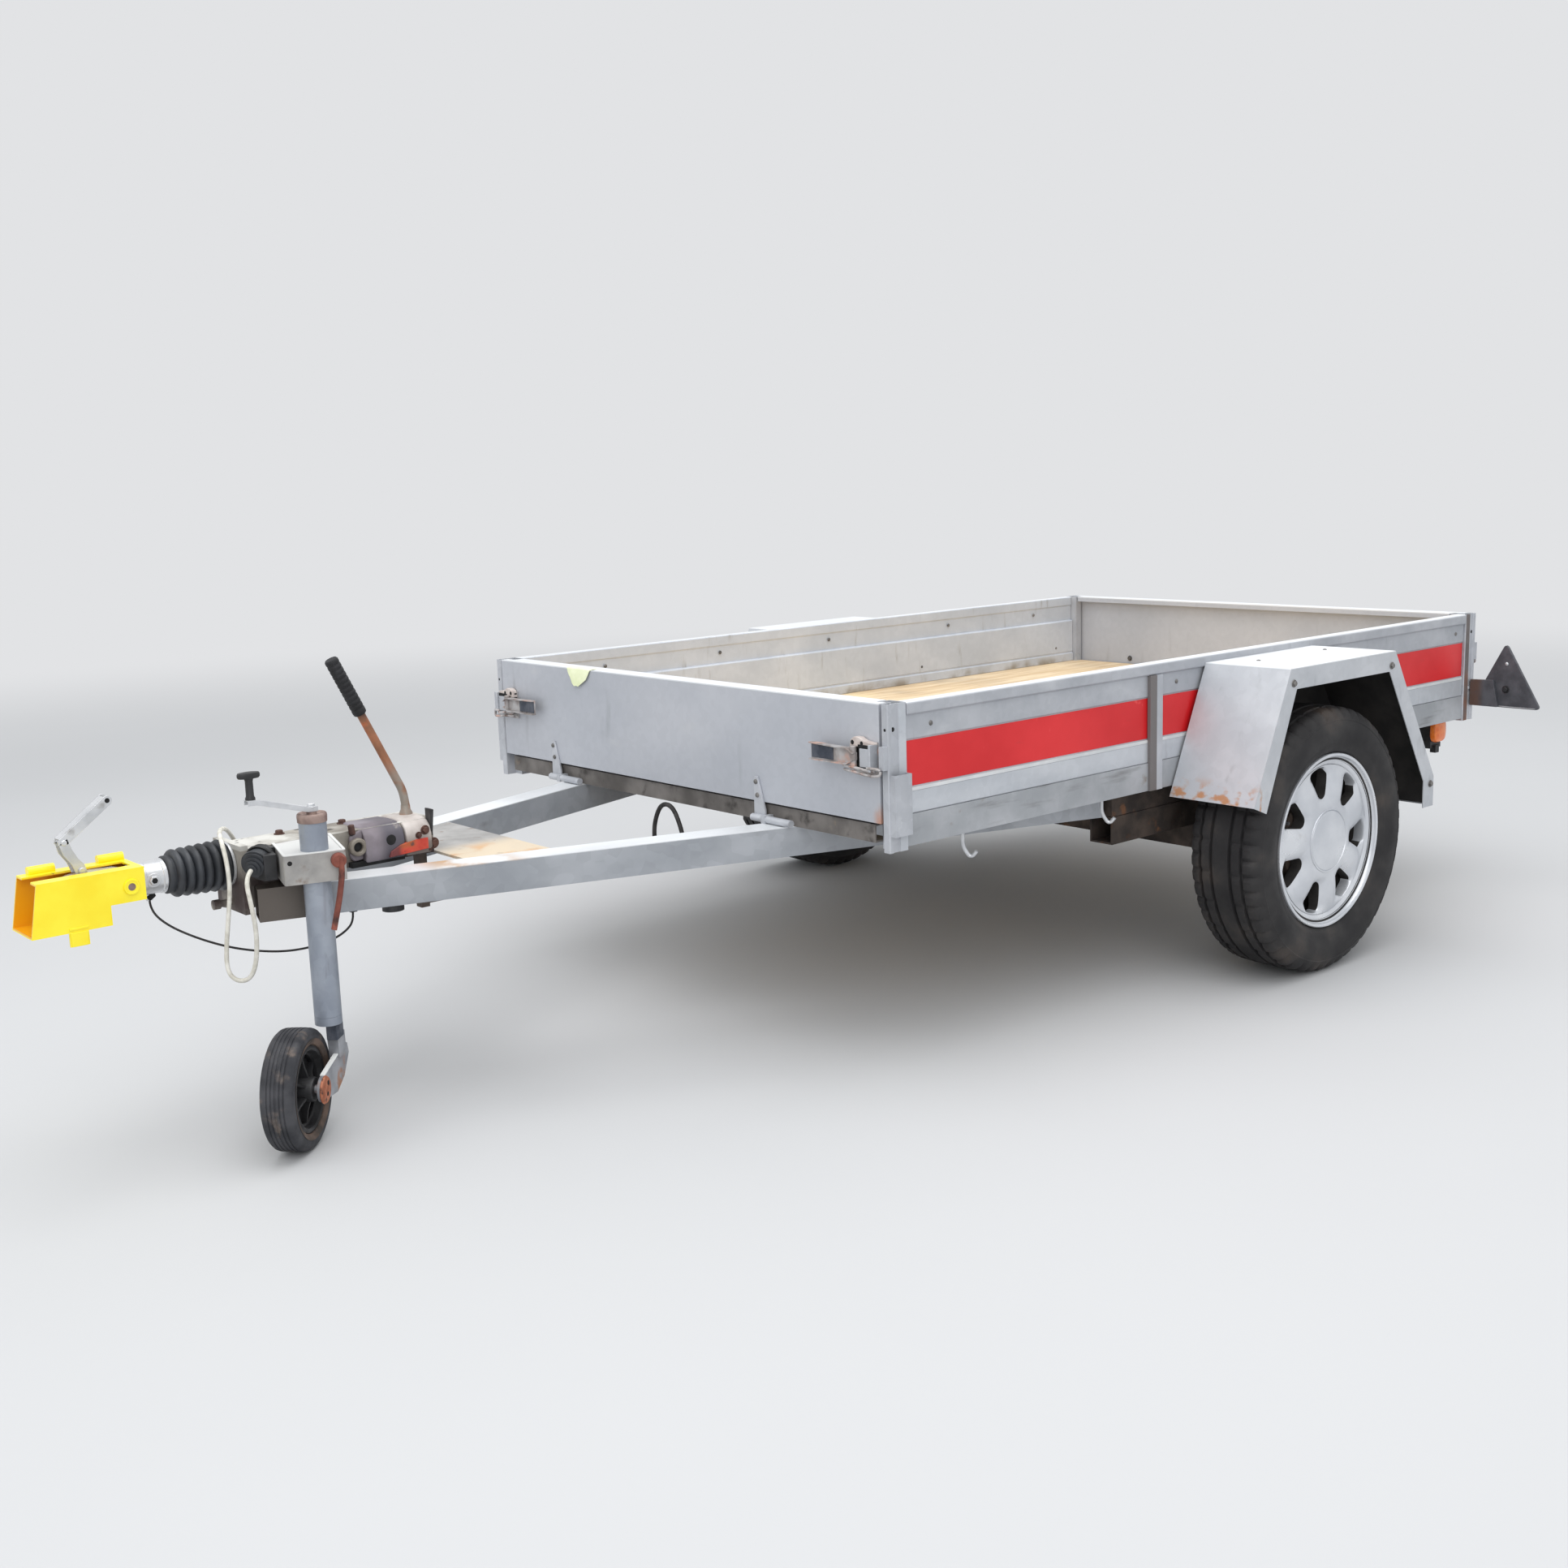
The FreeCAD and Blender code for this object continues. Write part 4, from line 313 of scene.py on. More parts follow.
lever_metal = finish(
    "lever_metal", (124, 88, 66), (162, 108, 78), 30, (0.5, 0.7), 0.25,
    coat((196, 104, 62), 18, 0.46, 0.6, (2, 0.6, 0.64)),
    coat((150, 142, 132), 20, 0.3, 0.5, (2, 0.64, 0.58)),
    coat((84, 62, 54), 20, 0.3, 0.6, (2, 0.7, 0.73)), bump=(260, 0.3))
tube_metal = finish(
    "tube_metal", (134, 141, 153), (164, 170, 180), 12, (0.36, 0.52), 0.35,
    coat((104, 100, 98), 16, 0.62, 0.82, stretch=UP), stretch=(1, 1, 0.6), bump=(240, 0.1),
    spangle=(60, 0.12))
cap_metal = finish(
    "cap_metal", (120, 98, 92), (162, 140, 131), 40, (0.5, 0.7), 0.2, bump=(260, 0.3))
clamp_metal = finish(
    "clamp_metal", (140, 138, 136), (172, 169, 165), 18, (0.45, 0.65), 0.25,
    # painted highlight: the near-white coat along the top face
    coat((108, 84, 68), 22, 0.6, 0.74), painted((222, 222, 220), (2, 0.5185, 0.5198)),
    bump=(240, 0.2))
fork_metal = finish(
    "fork_metal", (140, 142, 148), (168, 170, 176), 24, (0.3, 0.5), 0.45,
    coat((168, 118, 88), 30, 0.5, 0.66, (2, 0.15, 0.1)), bump=(260, 0.1))
tyre_rubber = finish(
    "tyre_rubber", (27, 26, 28), (46, 44, 44), 9, (0.6, 0.8), 0.0,
    coat((70, 61, 55), 9, 0.52, 0.82), bump=(300, 0.2))
jockey_rubber = finish(
    "jockey_rubber", (40, 41, 46), (66, 66, 70), 24, (0.6, 0.8), 0.0,
    coat((112, 100, 92), 30, 0.58, 0.76), bump=(300, 0.25))
black_rubber = finish(
    "black_rubber", (34, 36, 40), (54, 57, 62), 24, (0.42, 0.6), 0.0,
    coat((84, 82, 80), 30, 0.64, 0.85))
grip_rubber = finish(
    "grip_rubber", (16, 16, 19), (34, 34, 38), 30, (0.6, 0.75), 0.0,
    coat((110, 108, 106), 34, 0.68, 0.85))
alloy = finish(
    "alloy", (198, 201, 207), (222, 224, 228), 9, (0.26, 0.38), 0.4,
    coat((172, 170, 168), 20, 0.64, 0.88), bump=(260, 0.04), Coat_Weight=0.2)
post_shade = finish(
    "post_shade", (106, 99, 98), (128, 121, 119), 14, (0.6, 0.8), 0.2,
    coat((132, 92, 74), 16, 0.35, 0.6, (2, 0.58, 0.54)), bump=(160, 0.3))
post_metal = finish(
    "post_metal", (176, 179, 185), (198, 200, 205), 8, (0.5, 0.65), 0.3,
    # painted shade: darker over the side posts' forward part, from x -0.3775 m on
    painted((122, 117, 116), (0, -0.3785, -0.3775)), bump=(160, 0.2))
# painted shade: near-black for the rim's barrel and the deep faces of its windows
rim_inner_shade = finish("rim_inner_shade", (30, 28, 27), (54, 51, 49), 20, (0.7, 0.85), 0.1)
black_plastic = finish("black_plastic", (24, 24, 26), (44, 44, 46), 30)
amber_lens = finish(
    "amber_lens", (232, 104, 22), (246, 132, 44), 60, (0.12, 0.2), bump=(900, 0.25),
    Coat_Weight=0.5)
red_lens = finish(
    "red_lens", (150, 14, 16), (186, 24, 24), 60, (0.12, 0.2), bump=(900, 0.25), Coat_Weight=0.5)
reflector_back = finish(
    "reflector_back", (62, 63, 68), (86, 87, 92), 30, (0.45, 0.6), 0.0,
    coat((92, 70, 61), 30, 0.25, 0.5, (1, 0.716, 0.694)))
plate_white = finish("plate_white", (214, 214, 208), (232, 232, 228), 10, (0.35, 0.5))
paper = finish("paper", (226, 232, 188), (240, 244, 208), 30, (0.7, 0.85), bump=(90, 0.2))
beige_cable = finish(
    "beige_cable", (196, 192, 180), (226, 223, 214), 60, (0.45, 0.6), 0.0,
    coat((120, 112, 100), 40, 0.62, 0.8))
dark_cable = finish("dark_cable", (26, 25, 25), (48, 45, 44), 80, (0.5, 0.7))


# Making of pieces

MITRE, ARC_REACH = 0.25, 0.48   # least cosine of a mitre; part of a run that a round corner takes
LAID = {"x": lambda a, b, c: (c, a, b), "y": lambda a, b, c: (a, c, b),
        "z": lambda a, b, c: (a, b, c)}     # a drawn point and its level as x, y, z


def placed(name, data):
    """A new object in the scene."""
    made = bpy.data.objects.new(name, data)
    bpy.context.collection.objects.link(made)
    return made


def around(count, first=0.0):
    """Equal turns of a full circle, in radians."""
    return [math.tau * (number + first) / count for number in range(count)]


def across(axis):
    """Two directions square to an axis."""
    first = axis.cross(Z_AXIS if abs(axis.z) < 0.9 else X_AXIS).normalized()
    return first, axis.cross(first).normalized()


def inset(points, depth):
    """A closed outline moved inward by a depth, corners mitred."""
    following = points[1:] + points[:1]
    area = sum(a[0] * b[1] - b[0] * a[1] for a, b in zip(points, following))
    turn = 1 if area > 0 else -1
    moved = []
    for number, point in enumerate(points):
        before = Vector(point) - Vector(points[number - 1])
        after = Vector(following[number]) - Vector(point)
        first = Vector((-before.y, before.x)).normalized() * turn
        second = Vector((-after.y, after.x)).normalized() * turn
        middle = (first + second).normalized()
        moved.append(tuple(Vector(point) + middle * depth / max(middle.dot(first), MITRE)))
    return moved


def folded(points, thickness):
    """The closed outline of a folded sheet whose one face follows an open line."""
    spots = [Vector(point) for point in points]
    other = []
    for number, spot in enumerate(spots):
        runs = [spots[i + 1] - spots[i] for i in (number - 1, number)
                if 0 <= i < len(spots) - 1]
        sides = [Vector((-run.y, run.x)).normalized() for run in runs]
        middle = sum(sides, Vector((0, 0))).normalized()
        other.append(tuple(spot + middle * thickness / max(middle.dot(sides[0]), MITRE)))
    return list(points) + other[::-1]


def rounded(points, radius, steps=5):
    """An open line with its corners rounded."""
    spots = [Vector(point) for point in points]
    made = [spots[0]]
    for before, corner, after in zip(spots, spots[1:], spots[2:]):
        reach = min(radius, (corner - before).length * ARC_REACH,
                    (after - corner).length * ARC_REACH)
        start = corner + (before - corner).normalized() * reach
        end = corner + (after - corner).normalized() * reach
        for step in range(steps + 1):
            share = step / steps
            made.append(start * (1 - share) ** 2 + corner * 2 * share * (1 - share)
                        + end * share ** 2)
    return made + [spots[-1]]


class Maker:
    """Collects faces in millimetres. side -1 mirrors Y, ahead -1 mirrors X about the box."""

    def __init__(self, side=1, ahead=1):
        self.mesh = bmesh.new()
        self.side, self.ahead = side, ahead

    def spot(self, point):
        x, y, z = point
        x = x if self.ahead > 0 else FRONT + REAR - x
        return self.mesh.verts.new((x, y * self.side, z))

    def loops(self, rings, caps=True, wrap=False):
        """Skins a row of closed rings that have equally many points."""
        rows = [[self.spot(point) for point in ring] for ring in rings]
        count = len(rows[0])
        pairs = list(zip(rows, rows[1:])) + ([(rows[-1], rows[0])] if wrap else [])
        for low, high in pairs:
            for number in range(count):
                following = (number + 1) % count
                self.mesh.faces.new((low[number], low[following], high[following], high[number]))
        if caps and not wrap:
            self.mesh.faces.new(rows[0][::-1])
            self.mesh.faces.new(rows[-1])
        return self

    def prism(self, points, axis, low, high):
        """A polygon drawn over the other two axes, in their order, pushed along an axis."""
        place = LAID[axis]
        return self.loops([[place(a, b, level) for a, b in points] for level in (low, high)])

    def tube_prism(self, points, wall, axis, low, high):
        """A hollow section with open ends."""
        place = LAID[axis]
        inner = inset(points, wall)
        rings = [[place(a, b, level) for a, b in line]
                 for line, level in ((points, low), (points, high), (inner, high), (inner, low))]
        return self.loops(rings, caps=False, wrap=True)

    def box(self, x, y, z):
        return self.prism(((x[0], y[0]), (x[1], y[0]), (x[1], y[1]), (x[0], y[1])), "z", *z)

    def lathe(self, line, centre, axis, steps=48, wrap=False):
        """A line of (radius, distance along the axis) turned about an axis."""
        axis = Vector(axis).normalized()
        first, second = across(axis)
        rings = []
        for radius, along in line:
            middle = Vector(centre) + axis * along
            rings.append([middle + (first * math.cos(turn) + second * math.sin(turn)) * radius
                          for turn in around(steps)])
        return self.loops(rings, caps=not wrap, wrap=wrap)

    def rod(self, start, end, radius, steps=20):
        start, end = Vector(start), Vector(end)
        length = (end - start).length
        edge = min(radius * 0.2, length * 0.2)
        line = ((radius - edge, 0), (radius, edge), (radius, length - edge),
                (radius - edge, length))
        return self.lathe(line, start, end - start, steps)

    def bar(self, points, section):
        """A section of (across, up) carried along a line of points; up starts near Z."""
        spots = [Vector(point) for point in points]
        rings = []
        for number, spot in enumerate(spots):
            run = spots[min(number + 1, len(spots) - 1)] - spots[max(number - 1, 0)]
            ahead = run.normalized()
            wide = ahead.cross(Z_AXIS if abs(ahead.z) < 0.95 else X_AXIS).normalized()
            up = wide.cross(ahead)
            rings.append([spot + wide * a + up * b for a, b in section])
        return self.loops(rings)

    def wire(self, points, radius, sides=10):
        return self.bar(points, [(math.cos(t) * radius, math.sin(t) * radius)
                                 for t in around(sides)])

    def bolt(self, place, axis, size, height):
        """A hexagon head on a washer, standing on a face along an axis."""
        place, axis = Vector(place), Vector(axis).normalized()
        self.lathe(((size * 0.80, 0), (size * 0.84, 0.8), (size * 0.8, 1.6)), place, axis, 20)
        place = place + axis * 1.6
        first, second = across(axis)
        rings = []
        for share, level in ((1, 0), (1, height * 0.82), (0.86, height)):
            rings.append([place + axis * level + (first * math.cos(t) + second * math.sin(t))
                          * size / 1.732 * share for t in around(6)])
        return self.loops(rings)

    def dome(self, place, axis, radius, height):
        """A rivet's or screw's rounded head."""
        line = [(radius * math.cos(t), height * math.sin(t))
                for t in (math.pi / 2 * k / 4 for k in range(5))]
        return self.lathe(line, place, axis, 14)

    def paint(self, choose):
        """Gives each face the finish whose number choose returns for its middle and normal."""
        for face in self.mesh.faces:
            face.material_index = int(choose(face.calc_center_median(), face.normal))

    def piece(self, name, body, slot, *finishes, bevel=0.0, angle=38, replaces=()):
        mesh = self.mesh
        bmesh.ops.remove_doubles(mesh, verts=mesh.verts, dist=0.002)
        bmesh.ops.recalc_face_normals(mesh, faces=mesh.faces)
        bmesh.ops.scale(mesh, vec=(0.001, 0.001, 0.001), verts=mesh.verts)
        data = bpy.data.meshes.new(name)
        mesh.to_mesh(data)
        mesh.free()
        data.shade_smooth()
        data.set_sharp_from_angle(angle=math.radians(angle))
        made = placed(name, data)
        for item in finishes:
            data.materials.append(item)
        if bevel:
            soften(made, bevel)
        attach(made, body)
        if replaces:
            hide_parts(*replaces)
        return made


def soften(thing, width):
    """Rounds the sharp edges a little, over the mesh that is there."""
    edges = thing.modifiers.new("edges", "BEVEL")
    edges.width = width / 1000
    edges.segments = 2
    edges.limit_method = "ANGLE"
    edges.angle_limit = math.radians(32)
    edges.harden_normals = True


# Floor, lights and camera

BACKDROP = (226, 227, 229)
SKY, SKY_STRENGTH = (0.93, 0.97, 1.0, 1), 0.78
LAMPS = (                                # name, place, size and power
    ("top", (0.4, 0.6, 5.4), 5.0, 190), ("key", (3.4, 4.2, 3.8), 4.0, 95),
    ("fill", (4.5, -2.5, 3.6), 4.0, 40), ("back", (-4.5, -1.0, 4.6), 4.0, 60),
)
LAMP_AIM = Vector((-0.2, 0, 0.4))
EYE = (2.60684, 2.94004, 1.14946)        # the photo's camera, fitted
YAW, PITCH, ROLL = -2.2776, -0.1807, -0.03243
FOCAL, PHOTO_WIDTH, SENSOR = 2135.92, 1932, 36      # pixels, pixels, millimetres


def floor_finish():
    """A pale matt floor that becomes the backdrop's own tone far from the trailer."""
    made = Finish("studio_floor")
    shade = made.mix(rgb(192, 192, 193), rgb(198, 198, 199), made.noise(0.6))
    made.join(shade, made.shader.inputs["Base Color"])
    made.shader.inputs["Roughness"].default_value = 0.85
    far = made.add("ShaderNodeVectorMath", operation="LENGTH")
    made.join(made.place, far.inputs[0])
    glow = made.add("ShaderNodeEmission")
    glow.inputs["Color"].default_value = rgb(*BACKDROP)
    mix = made.add("ShaderNodeMixShader")
    made.join(made.spread(far.outputs["Value"], 3.5, 9.0), mix.inputs[0])
    made.join(made.shader.outputs[0], mix.inputs[1])
    made.join(glow.outputs[0], mix.inputs[2])
    made.join(mix.outputs[0], made.tree.nodes["Material Output"].inputs["Surface"])
    return made.material


def studio():
    """The floor, a sky that lights and a plain backdrop that shows, and the lamps."""
    disc = bmesh.new()
    bmesh.ops.create_circle(disc, cap_ends=True, radius=30, segments=96)
    data = bpy.data.meshes.new("studio_floor")
    disc.to_mesh(data)
    disc.free()
    ground = placed("studio_floor", data)
    data.materials.append(floor_finish())

    world = bpy.data.worlds.new("studio")
    bpy.context.scene.world = world
    world.use_nodes = True
    nodes, join = world.node_tree.nodes, world.node_tree.links.new
    sky, shown = nodes["Background"], nodes.new("ShaderNodeBackground")
    for light, colour, strength in ((sky, SKY, SKY_STRENGTH), (shown, rgb(*BACKDROP), 1.0)):
        light.inputs["Color"].default_value = colour
        light.inputs["Strength"].default_value = strength
    rays = nodes.new("ShaderNodeLightPath")
    seen = rays.outputs["Is Camera Ray"]
    for kind in ("Is Transmission Ray", "Is Glossy Ray"):
        either = nodes.new("ShaderNodeMath")
        either.operation = "MAXIMUM"
        join(seen, either.inputs[0])
        join(rays.outputs[kind], either.inputs[1])
        seen = either.outputs[0]
    mix = nodes.new("ShaderNodeMixShader")
    for number, source in enumerate((seen, sky.outputs[0], shown.outputs[0])):
        join(source, mix.inputs[number])
    join(mix.outputs[0], nodes["World Output"].inputs["Surface"])

    for name, place, size, power in LAMPS:
        lamp = bpy.data.lights.new(name, "AREA")
        lamp.size, lamp.energy = size, power
        holder = placed(name, lamp)
        holder.location = place
        aim = LAMP_AIM - holder.location
        holder.rotation_euler = aim.to_track_quat("-Z", "Y").to_euler()
    bpy.context.scene.view_settings.view_transform = "Standard"


def photo_camera():
    """The camera that took the photo: its axes from the angles, its place and its lens."""
    ahead = Vector((math.cos(YAW) * math.cos(PITCH), math.sin(YAW) * math.cos(PITCH),
                    math.sin(PITCH)))
    right = ahead.cross(Z_AXIS).normalized()
    up = right.cross(ahead)
    wide = right * math.cos(ROLL) + up * math.sin(ROLL)
    tall = up * math.cos(ROLL) - right * math.sin(ROLL)
    data = bpy.data.cameras.new("photo_camera")
    data.sensor_width = SENSOR
    data.lens = FOCAL / PHOTO_WIDTH * SENSOR
    eye = placed("photo_camera", data)
    rows = [[wide[i], tall[i], -ahead[i], EYE[i]] for i in range(3)]
    eye.matrix_world = Matrix(rows + [[0, 0, 0, 1]])
    bpy.context.scene.camera = eye


# Cables

TRAILER_CABLE = (
    (915, -62, 470), (915, -88, 470), (922, -102, 494), (938, -94, 522), (958, -68, 538),
    (980, -34, 543), (998, 4, 543), (1008, 38, 532), (1012, 62, 500), (1014, 70, 458),
    (1022, 71, 408), (1031, 72, 358), (1035, 75, 316), (1027, 88, 298), (1012, 105, 298),
    (1003, 117, 316), (999, 126, 352), (1001, 134, 396), (1007, 137, 440), (1008.7, 125.1, 484),
    (990, 109, 492),
)
BREAKAWAY_CABLE = (
    (1130, 0, 447), (1130, 0, 428), (1108, 13, 400), (1066, 26, 372), (1016, 38, 347),
    (966, 50, 331), (918, 64, 323), (874, 80, 326), (842, 91, 334), (818, 99, 347),
    (804, 104, 364), (804, 104, 382),
)
CONDUIT = (
    (86.3, 291.6, 420), (79.6, 270.7, 420), (71, 238, 402), (60, 198, 372), (44, 154, 354),
    (28, 112, 345), (15, 78, 346), (10, 56, 368), (10, 46, 405), (10, 20, 446.3),
    (10, -20, 446.3), (10, -46, 405), (8, -54, 366), (0, -58, 330), (-22, -60, 304),
    (-60, -60, 292), (-140, -60, 290), (-230, -60, 304), (-320, -60, 328), (-400, -60, 354),
    (-470, -60, 376), (-526, -57, 394), (-555, -57, 416), (-555, -57, 450),
)
PLUG_AXIS = Vector((0.72, 0.62, -0.31)).normalized()


def cable(name, node, points, diameter, length, finish_used, slot, **facts):
    """Points are ahead of the front gate's face, out from the middle, and up."""
    places = [((FRONT + x) / 1000, y / 1000, z / 1000) for x, y, z in points]
    data = bpy.data.curves.new(name, "CURVE")
    data.dimensions = "3D"
    data.resolution_u = 8
    data.bevel_depth = diameter / 2000
    data.bevel_resolution = 3
    data.use_fill_caps = True
    line = data.splines.new("NURBS")
    line.points.add(len(places) - 1)
    for point, place in zip(line.points, places):
        point.co = (*place, 1)
    line.order_u = 3
    line.use_endpoint_u = True
    made = placed(name, data)
    data.materials.append(finish_used)
    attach(made, "trailer")
    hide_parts(node)
    return made


studio()
photo_camera()
cable("cord_trailer", "trailer_cable", TRAILER_CABLE, 8, 0.73, beige_cable, "beige_cable",
      far_end="plug", stiffness="medium", lay="hanging", with_pieces=["connector_plug"])
cable("cord_breakaway", "breakaway_cable", BREAKAWAY_CABLE, 4, 0.42, dark_cable, "dark_cable",
      far_end="object", stiffness="medium", lay="hanging")
cable("cord_loom", "wiring_conduit", CONDUIT, 10, 1.14, dark_cable, "dark_cable",
      far_end="object", stiffness="medium", lay="hanging")


# Finish and softened edge of every CAD node, also of those that pieces replace

DRESSED = (
    (sill_metal, 2.0, "side_sills"),
    (end_sill_metal, 1.5, "end_sills"),
    (sill_metal, 1.5, "cross_members"),
    (plywood, 0.6, "floor_board"),
    (sheet_metal, 1.0, "side_panel_left side_panel_right"),
    (post_metal, 1.2, "side_posts"),
    (galvanised, 1.0, "corner_posts gate_catches"),
    (galvanised, 0.8, "stake_pockets front_gate_hinges rear_gate_hinges front_gate_latches "
     "rear_gate_latches hinge_lugs"),
    (gate_metal, 2.5, "front_gate_panel rear_gate_panel"),
    (gusset_metal, 0.5, "drawbar_gusset"),
    (guard_metal, 1.0, "mudguard_left mudguard_right"),
    (drawbar_metal, 3.0, "drawbar_arm_left drawbar_arm_right"),
    (black_plastic, 2.0, "arm_feet rear_lamps"),
    (housing_paint, 2.5, "overrun_housing"),
    (zinc_steel, 0.8, "coupling_shaft jockey_crank"),
    (black_rubber, 0, "gaiter"),
    (zinc_steel, 1.5, "coupling_head"),
    (zinc_steel, 1.0, "coupling_handle"),
    (yellow_paint, 1.8, "lock_box"),
    (brake_paint, 2.0, "handbrake_housing"),
    (lever_metal, 0, "handbrake_lever"),
    (grip_rubber, 2.0, "handbrake_grip"),
    (rusty_steel, 0.5, "brake_rod"),
    (rusty_steel, 2.0, "chassis_beams axle_tube swing_arms brake_drum_left brake_drum_right"),
    (rusty_steel, 1.5, "beam_spacers"),
    (tyre_rubber, 2.0, "tyre_left tyre_right"),
    (alloy, 1.0, "rim_left rim_right"),
    (tube_metal, 0.8, "jockey_tube"),
    (black_plastic, 1.0, "jockey_grip jockey_hub"),
    (clamp_metal, 2.0, "jockey_clamp"),
    (rust_red, 0.8, "clamp_handle"),
    (fork_metal, 0.8, "jockey_fork"),
    (jockey_rubber, 3.0, "jockey_tyre"),
    (reflector_back, 1.0, "rear_reflectors"),
    (plate_white, 0.5, "number_plate"),
    (black_rubber, 0.8, "connector_plug"),
    (black_plastic, 0.8, "cable_fittings"),
    (zinc_steel, 0, "tie_hooks"),
    (beige_cable, 0, "trailer_cable"),
    (dark_cable, 0, "breakaway_cable wiring_conduit"),
)
for look, edge, names in DRESSED:
    for name in names.split():
        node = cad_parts[name]
        node.data.materials.clear()
        node.data.materials.append(look)
        if edge:
            soften(node, edge)


# The load box

def side_walls():
    """Folded side panels, their painted band, the bead and sheet below it, and rivets."""
    start, stop = REAR + 50.3, FRONT - 50.3
    section = ((651, 716), (671, 716), (675, 712), (675, 693), (672, 690), (669, 690),
               (669, 645), (666.5, 643), (666.5, 553), (669, 552), (669, 502.3), (651, 502.3),
               (651, 514.5), (641, 514.5), (641, 538), (645, 540), (645, 543), (643, 545),
               (643, 640), (646, 643), (651, 643), (651, 688), (648.5, 691), (648.5, 714))
    for side, sign in SIDES:
        wall = Maker(sign).prism(section, "x", start, stop)
        # faces inside the box take the lighter copy of the sheet, as painted light
        wall.paint(lambda middle, normal: abs(middle.y) < 655)
        wall.piece(f"side_wall_{side}", "trailer", "sheet_metal", sheet_metal, inner_sheet_painted_light,
                   bevel=1.2, replaces=[f"side_panel_{side}"])
        # the bead strip is pale as a painted highlight
        for name, low, high, face, colour in (("stripe", 555, 641.5, 666.5, red_stripe),
                                              ("bead", 545.5, 552, 669, bead_highlight),
                                              ("lower_sheet", 504.5, 544.5, 669, pale_sheet)):
            strip = Maker(sign).box((start + 2, stop - 2), (face - 0.2, face + 0.7), (low, high))
            strip.piece(f"{name}_{side}", "trailer", "sheet_metal", colour)
        rivets = Maker(sign)
        for x in (-1500, -1120, -640, -250, 120):
            rivets.dome((x, 648.5, 672), -Y_AXIS, 5, 3)
        for x in (-1640, -455, 300):
            rivets.dome((x, 669, 668), Y_AXIS, 5, 3)
        for x in (-1600, -1000, -300, 250):
            rivets.dome((x, 643, 560), -Y_AXIS, 4, 2)
        rivets.piece(f"rivets_{side}", "trailer", "zinc_steel", bolt_metal)


def posts():
    """Corner posts with a rib at the gate, a flat and a pale strip beside the panel."""
    plan = ((418.5, 673), (416.5, 675), (408, 675), (406.5, 671.8), (391, 671.8), (389.5, 674.2),
            (370.5, 674.2), (368.7, 672.5), (368.7, 630), (393.5, 630), (393.5, 657),
            (416.5, 657), (418.5, 659))
    core = ((414, 669), (372, 669), (372, 633), (390, 633), (390, 660), (414, 660))
    made, hollows, holes = Maker(), Maker(), Maker()
    for end, ahead in ENDS:
        for side, sign in SIDES:
            for maker in (made, hollows, holes):
                maker.side, maker.ahead = sign, ahead
            made.tube_prism(plan, 2, "z", 436, 716)
            # a dark fill 14 mm down each post's hollow, as painted shade
            hollows.prism(core, "z", 440, 702)
            # dark discs for the posts' holes, as painted shade
            holes.dome((402.5, 671.8, 668), Y_AXIS, 4.5, 0.5)
            holes.dome((418.5, 667, 668), X_AXIS, 3, 0.4)
            made.dome((384, 674.2, 664), Y_AXIS, 4, 0.6)
            made.dome((398.5, 671.8, 520), Y_AXIS, 5, 2.5)

    def strip_finish(middle, normal):
        """Pale on the strip beside the front posts' panel, shaded on the rear ones."""
        inward = max(middle.x, FRONT + REAR - middle.x)
        return (1 if middle.x > 0 else 2) if abs(middle.y) > 674 and inward < 390 else 0

    made.paint(strip_finish)
    made.piece("corner_post_set", "trailer", "galvanised_steel", galvanised, pale_sheet,
               post_shade, bevel=0.6, replaces=["corner_posts"])
    hollows.piece("corner_post_hollow_shade", "trailer", "galvanised_steel", post_hollow_shade)
    holes.piece("corner_post_holes", "trailer", "galvanised_steel", hole_and_gap_shade)


def gate_fittings(end, ahead):
    """Straps with rolled knuckles, overcentre latches and the bolts of one gate."""
    body = f"{end}_gate"
    straps, bolts = Maker(1, ahead), Maker(1, ahead)
    for start in (288, -447):
        leaf = [(start + y, z) for y, z in ((0.3, 459), (33.7, 459), (33.7, 475), (14, 536),
                                            (11.5, 540.7), (4.5, 540.7), (2, 537), (0.3, 475))]
        straps.prism(leaf, "x", FRONT + 0.2, FRONT + 5)
        pin = (FRONT + 10, start, HINGE_HEIGHT)
        straps.lathe(((7.6, 0.3), (7.6, 33.7), (4.6, 33.7), (4.6, 0.3)), pin, Y_AXIS, 24,
                     wrap=True)
        bolts.lathe(((0.1, -3.5), (5, -3.5), (6.4, -2), (6.4, 0)), pin, Y_AXIS, 20)
        for y, z in ((8, 530), (12, 503)):
            bolts.dome((FRONT + 5, start + y, z), X_AXIS, 5.2, 4)
            bolts.bolt((FRONT - 20, start + y, z), -X_AXIS, 10, 5)
    straps.piece(f"{end}_straps", body, "galvanised_steel", galvanised, bevel=0.8,
                 replaces=[f"{end}_gate_hinges"])
    bolts.piece(f"{end}_gate_bolts", body, "zinc_steel", bolt_metal)
    latches, plates, ears = (Maker(1, ahead) for _ in range(3))
    inside, dark = Maker(1, ahead), Maker(1, ahead)
    for side, sign in SIDES:
        for maker in (latches, plates, ears, inside, dark):
            maker.side = sign
        latch(latches, plates, ears, inside, dark)
    latches.piece(f"{end}_latches", body, "galvanised_steel", latch_metal, bevel=0.5,
                  replaces=[f"{end}_gate_latches"])
    plates.piece(f"{end}_latch_plates", body, "zinc_steel", galvanised, bevel=1.0)
    ears.piece(f"{end}_latch_ears", body, "galvanised_steel", latch_pink, bevel=2.5)
    inside.piece(f"{end}_latch_linings", body, "galvanised_steel", latch_inside)
    dark.piece(f"{end}_latch_wells", body, "galvanised_steel", hole_and_gap_shade)


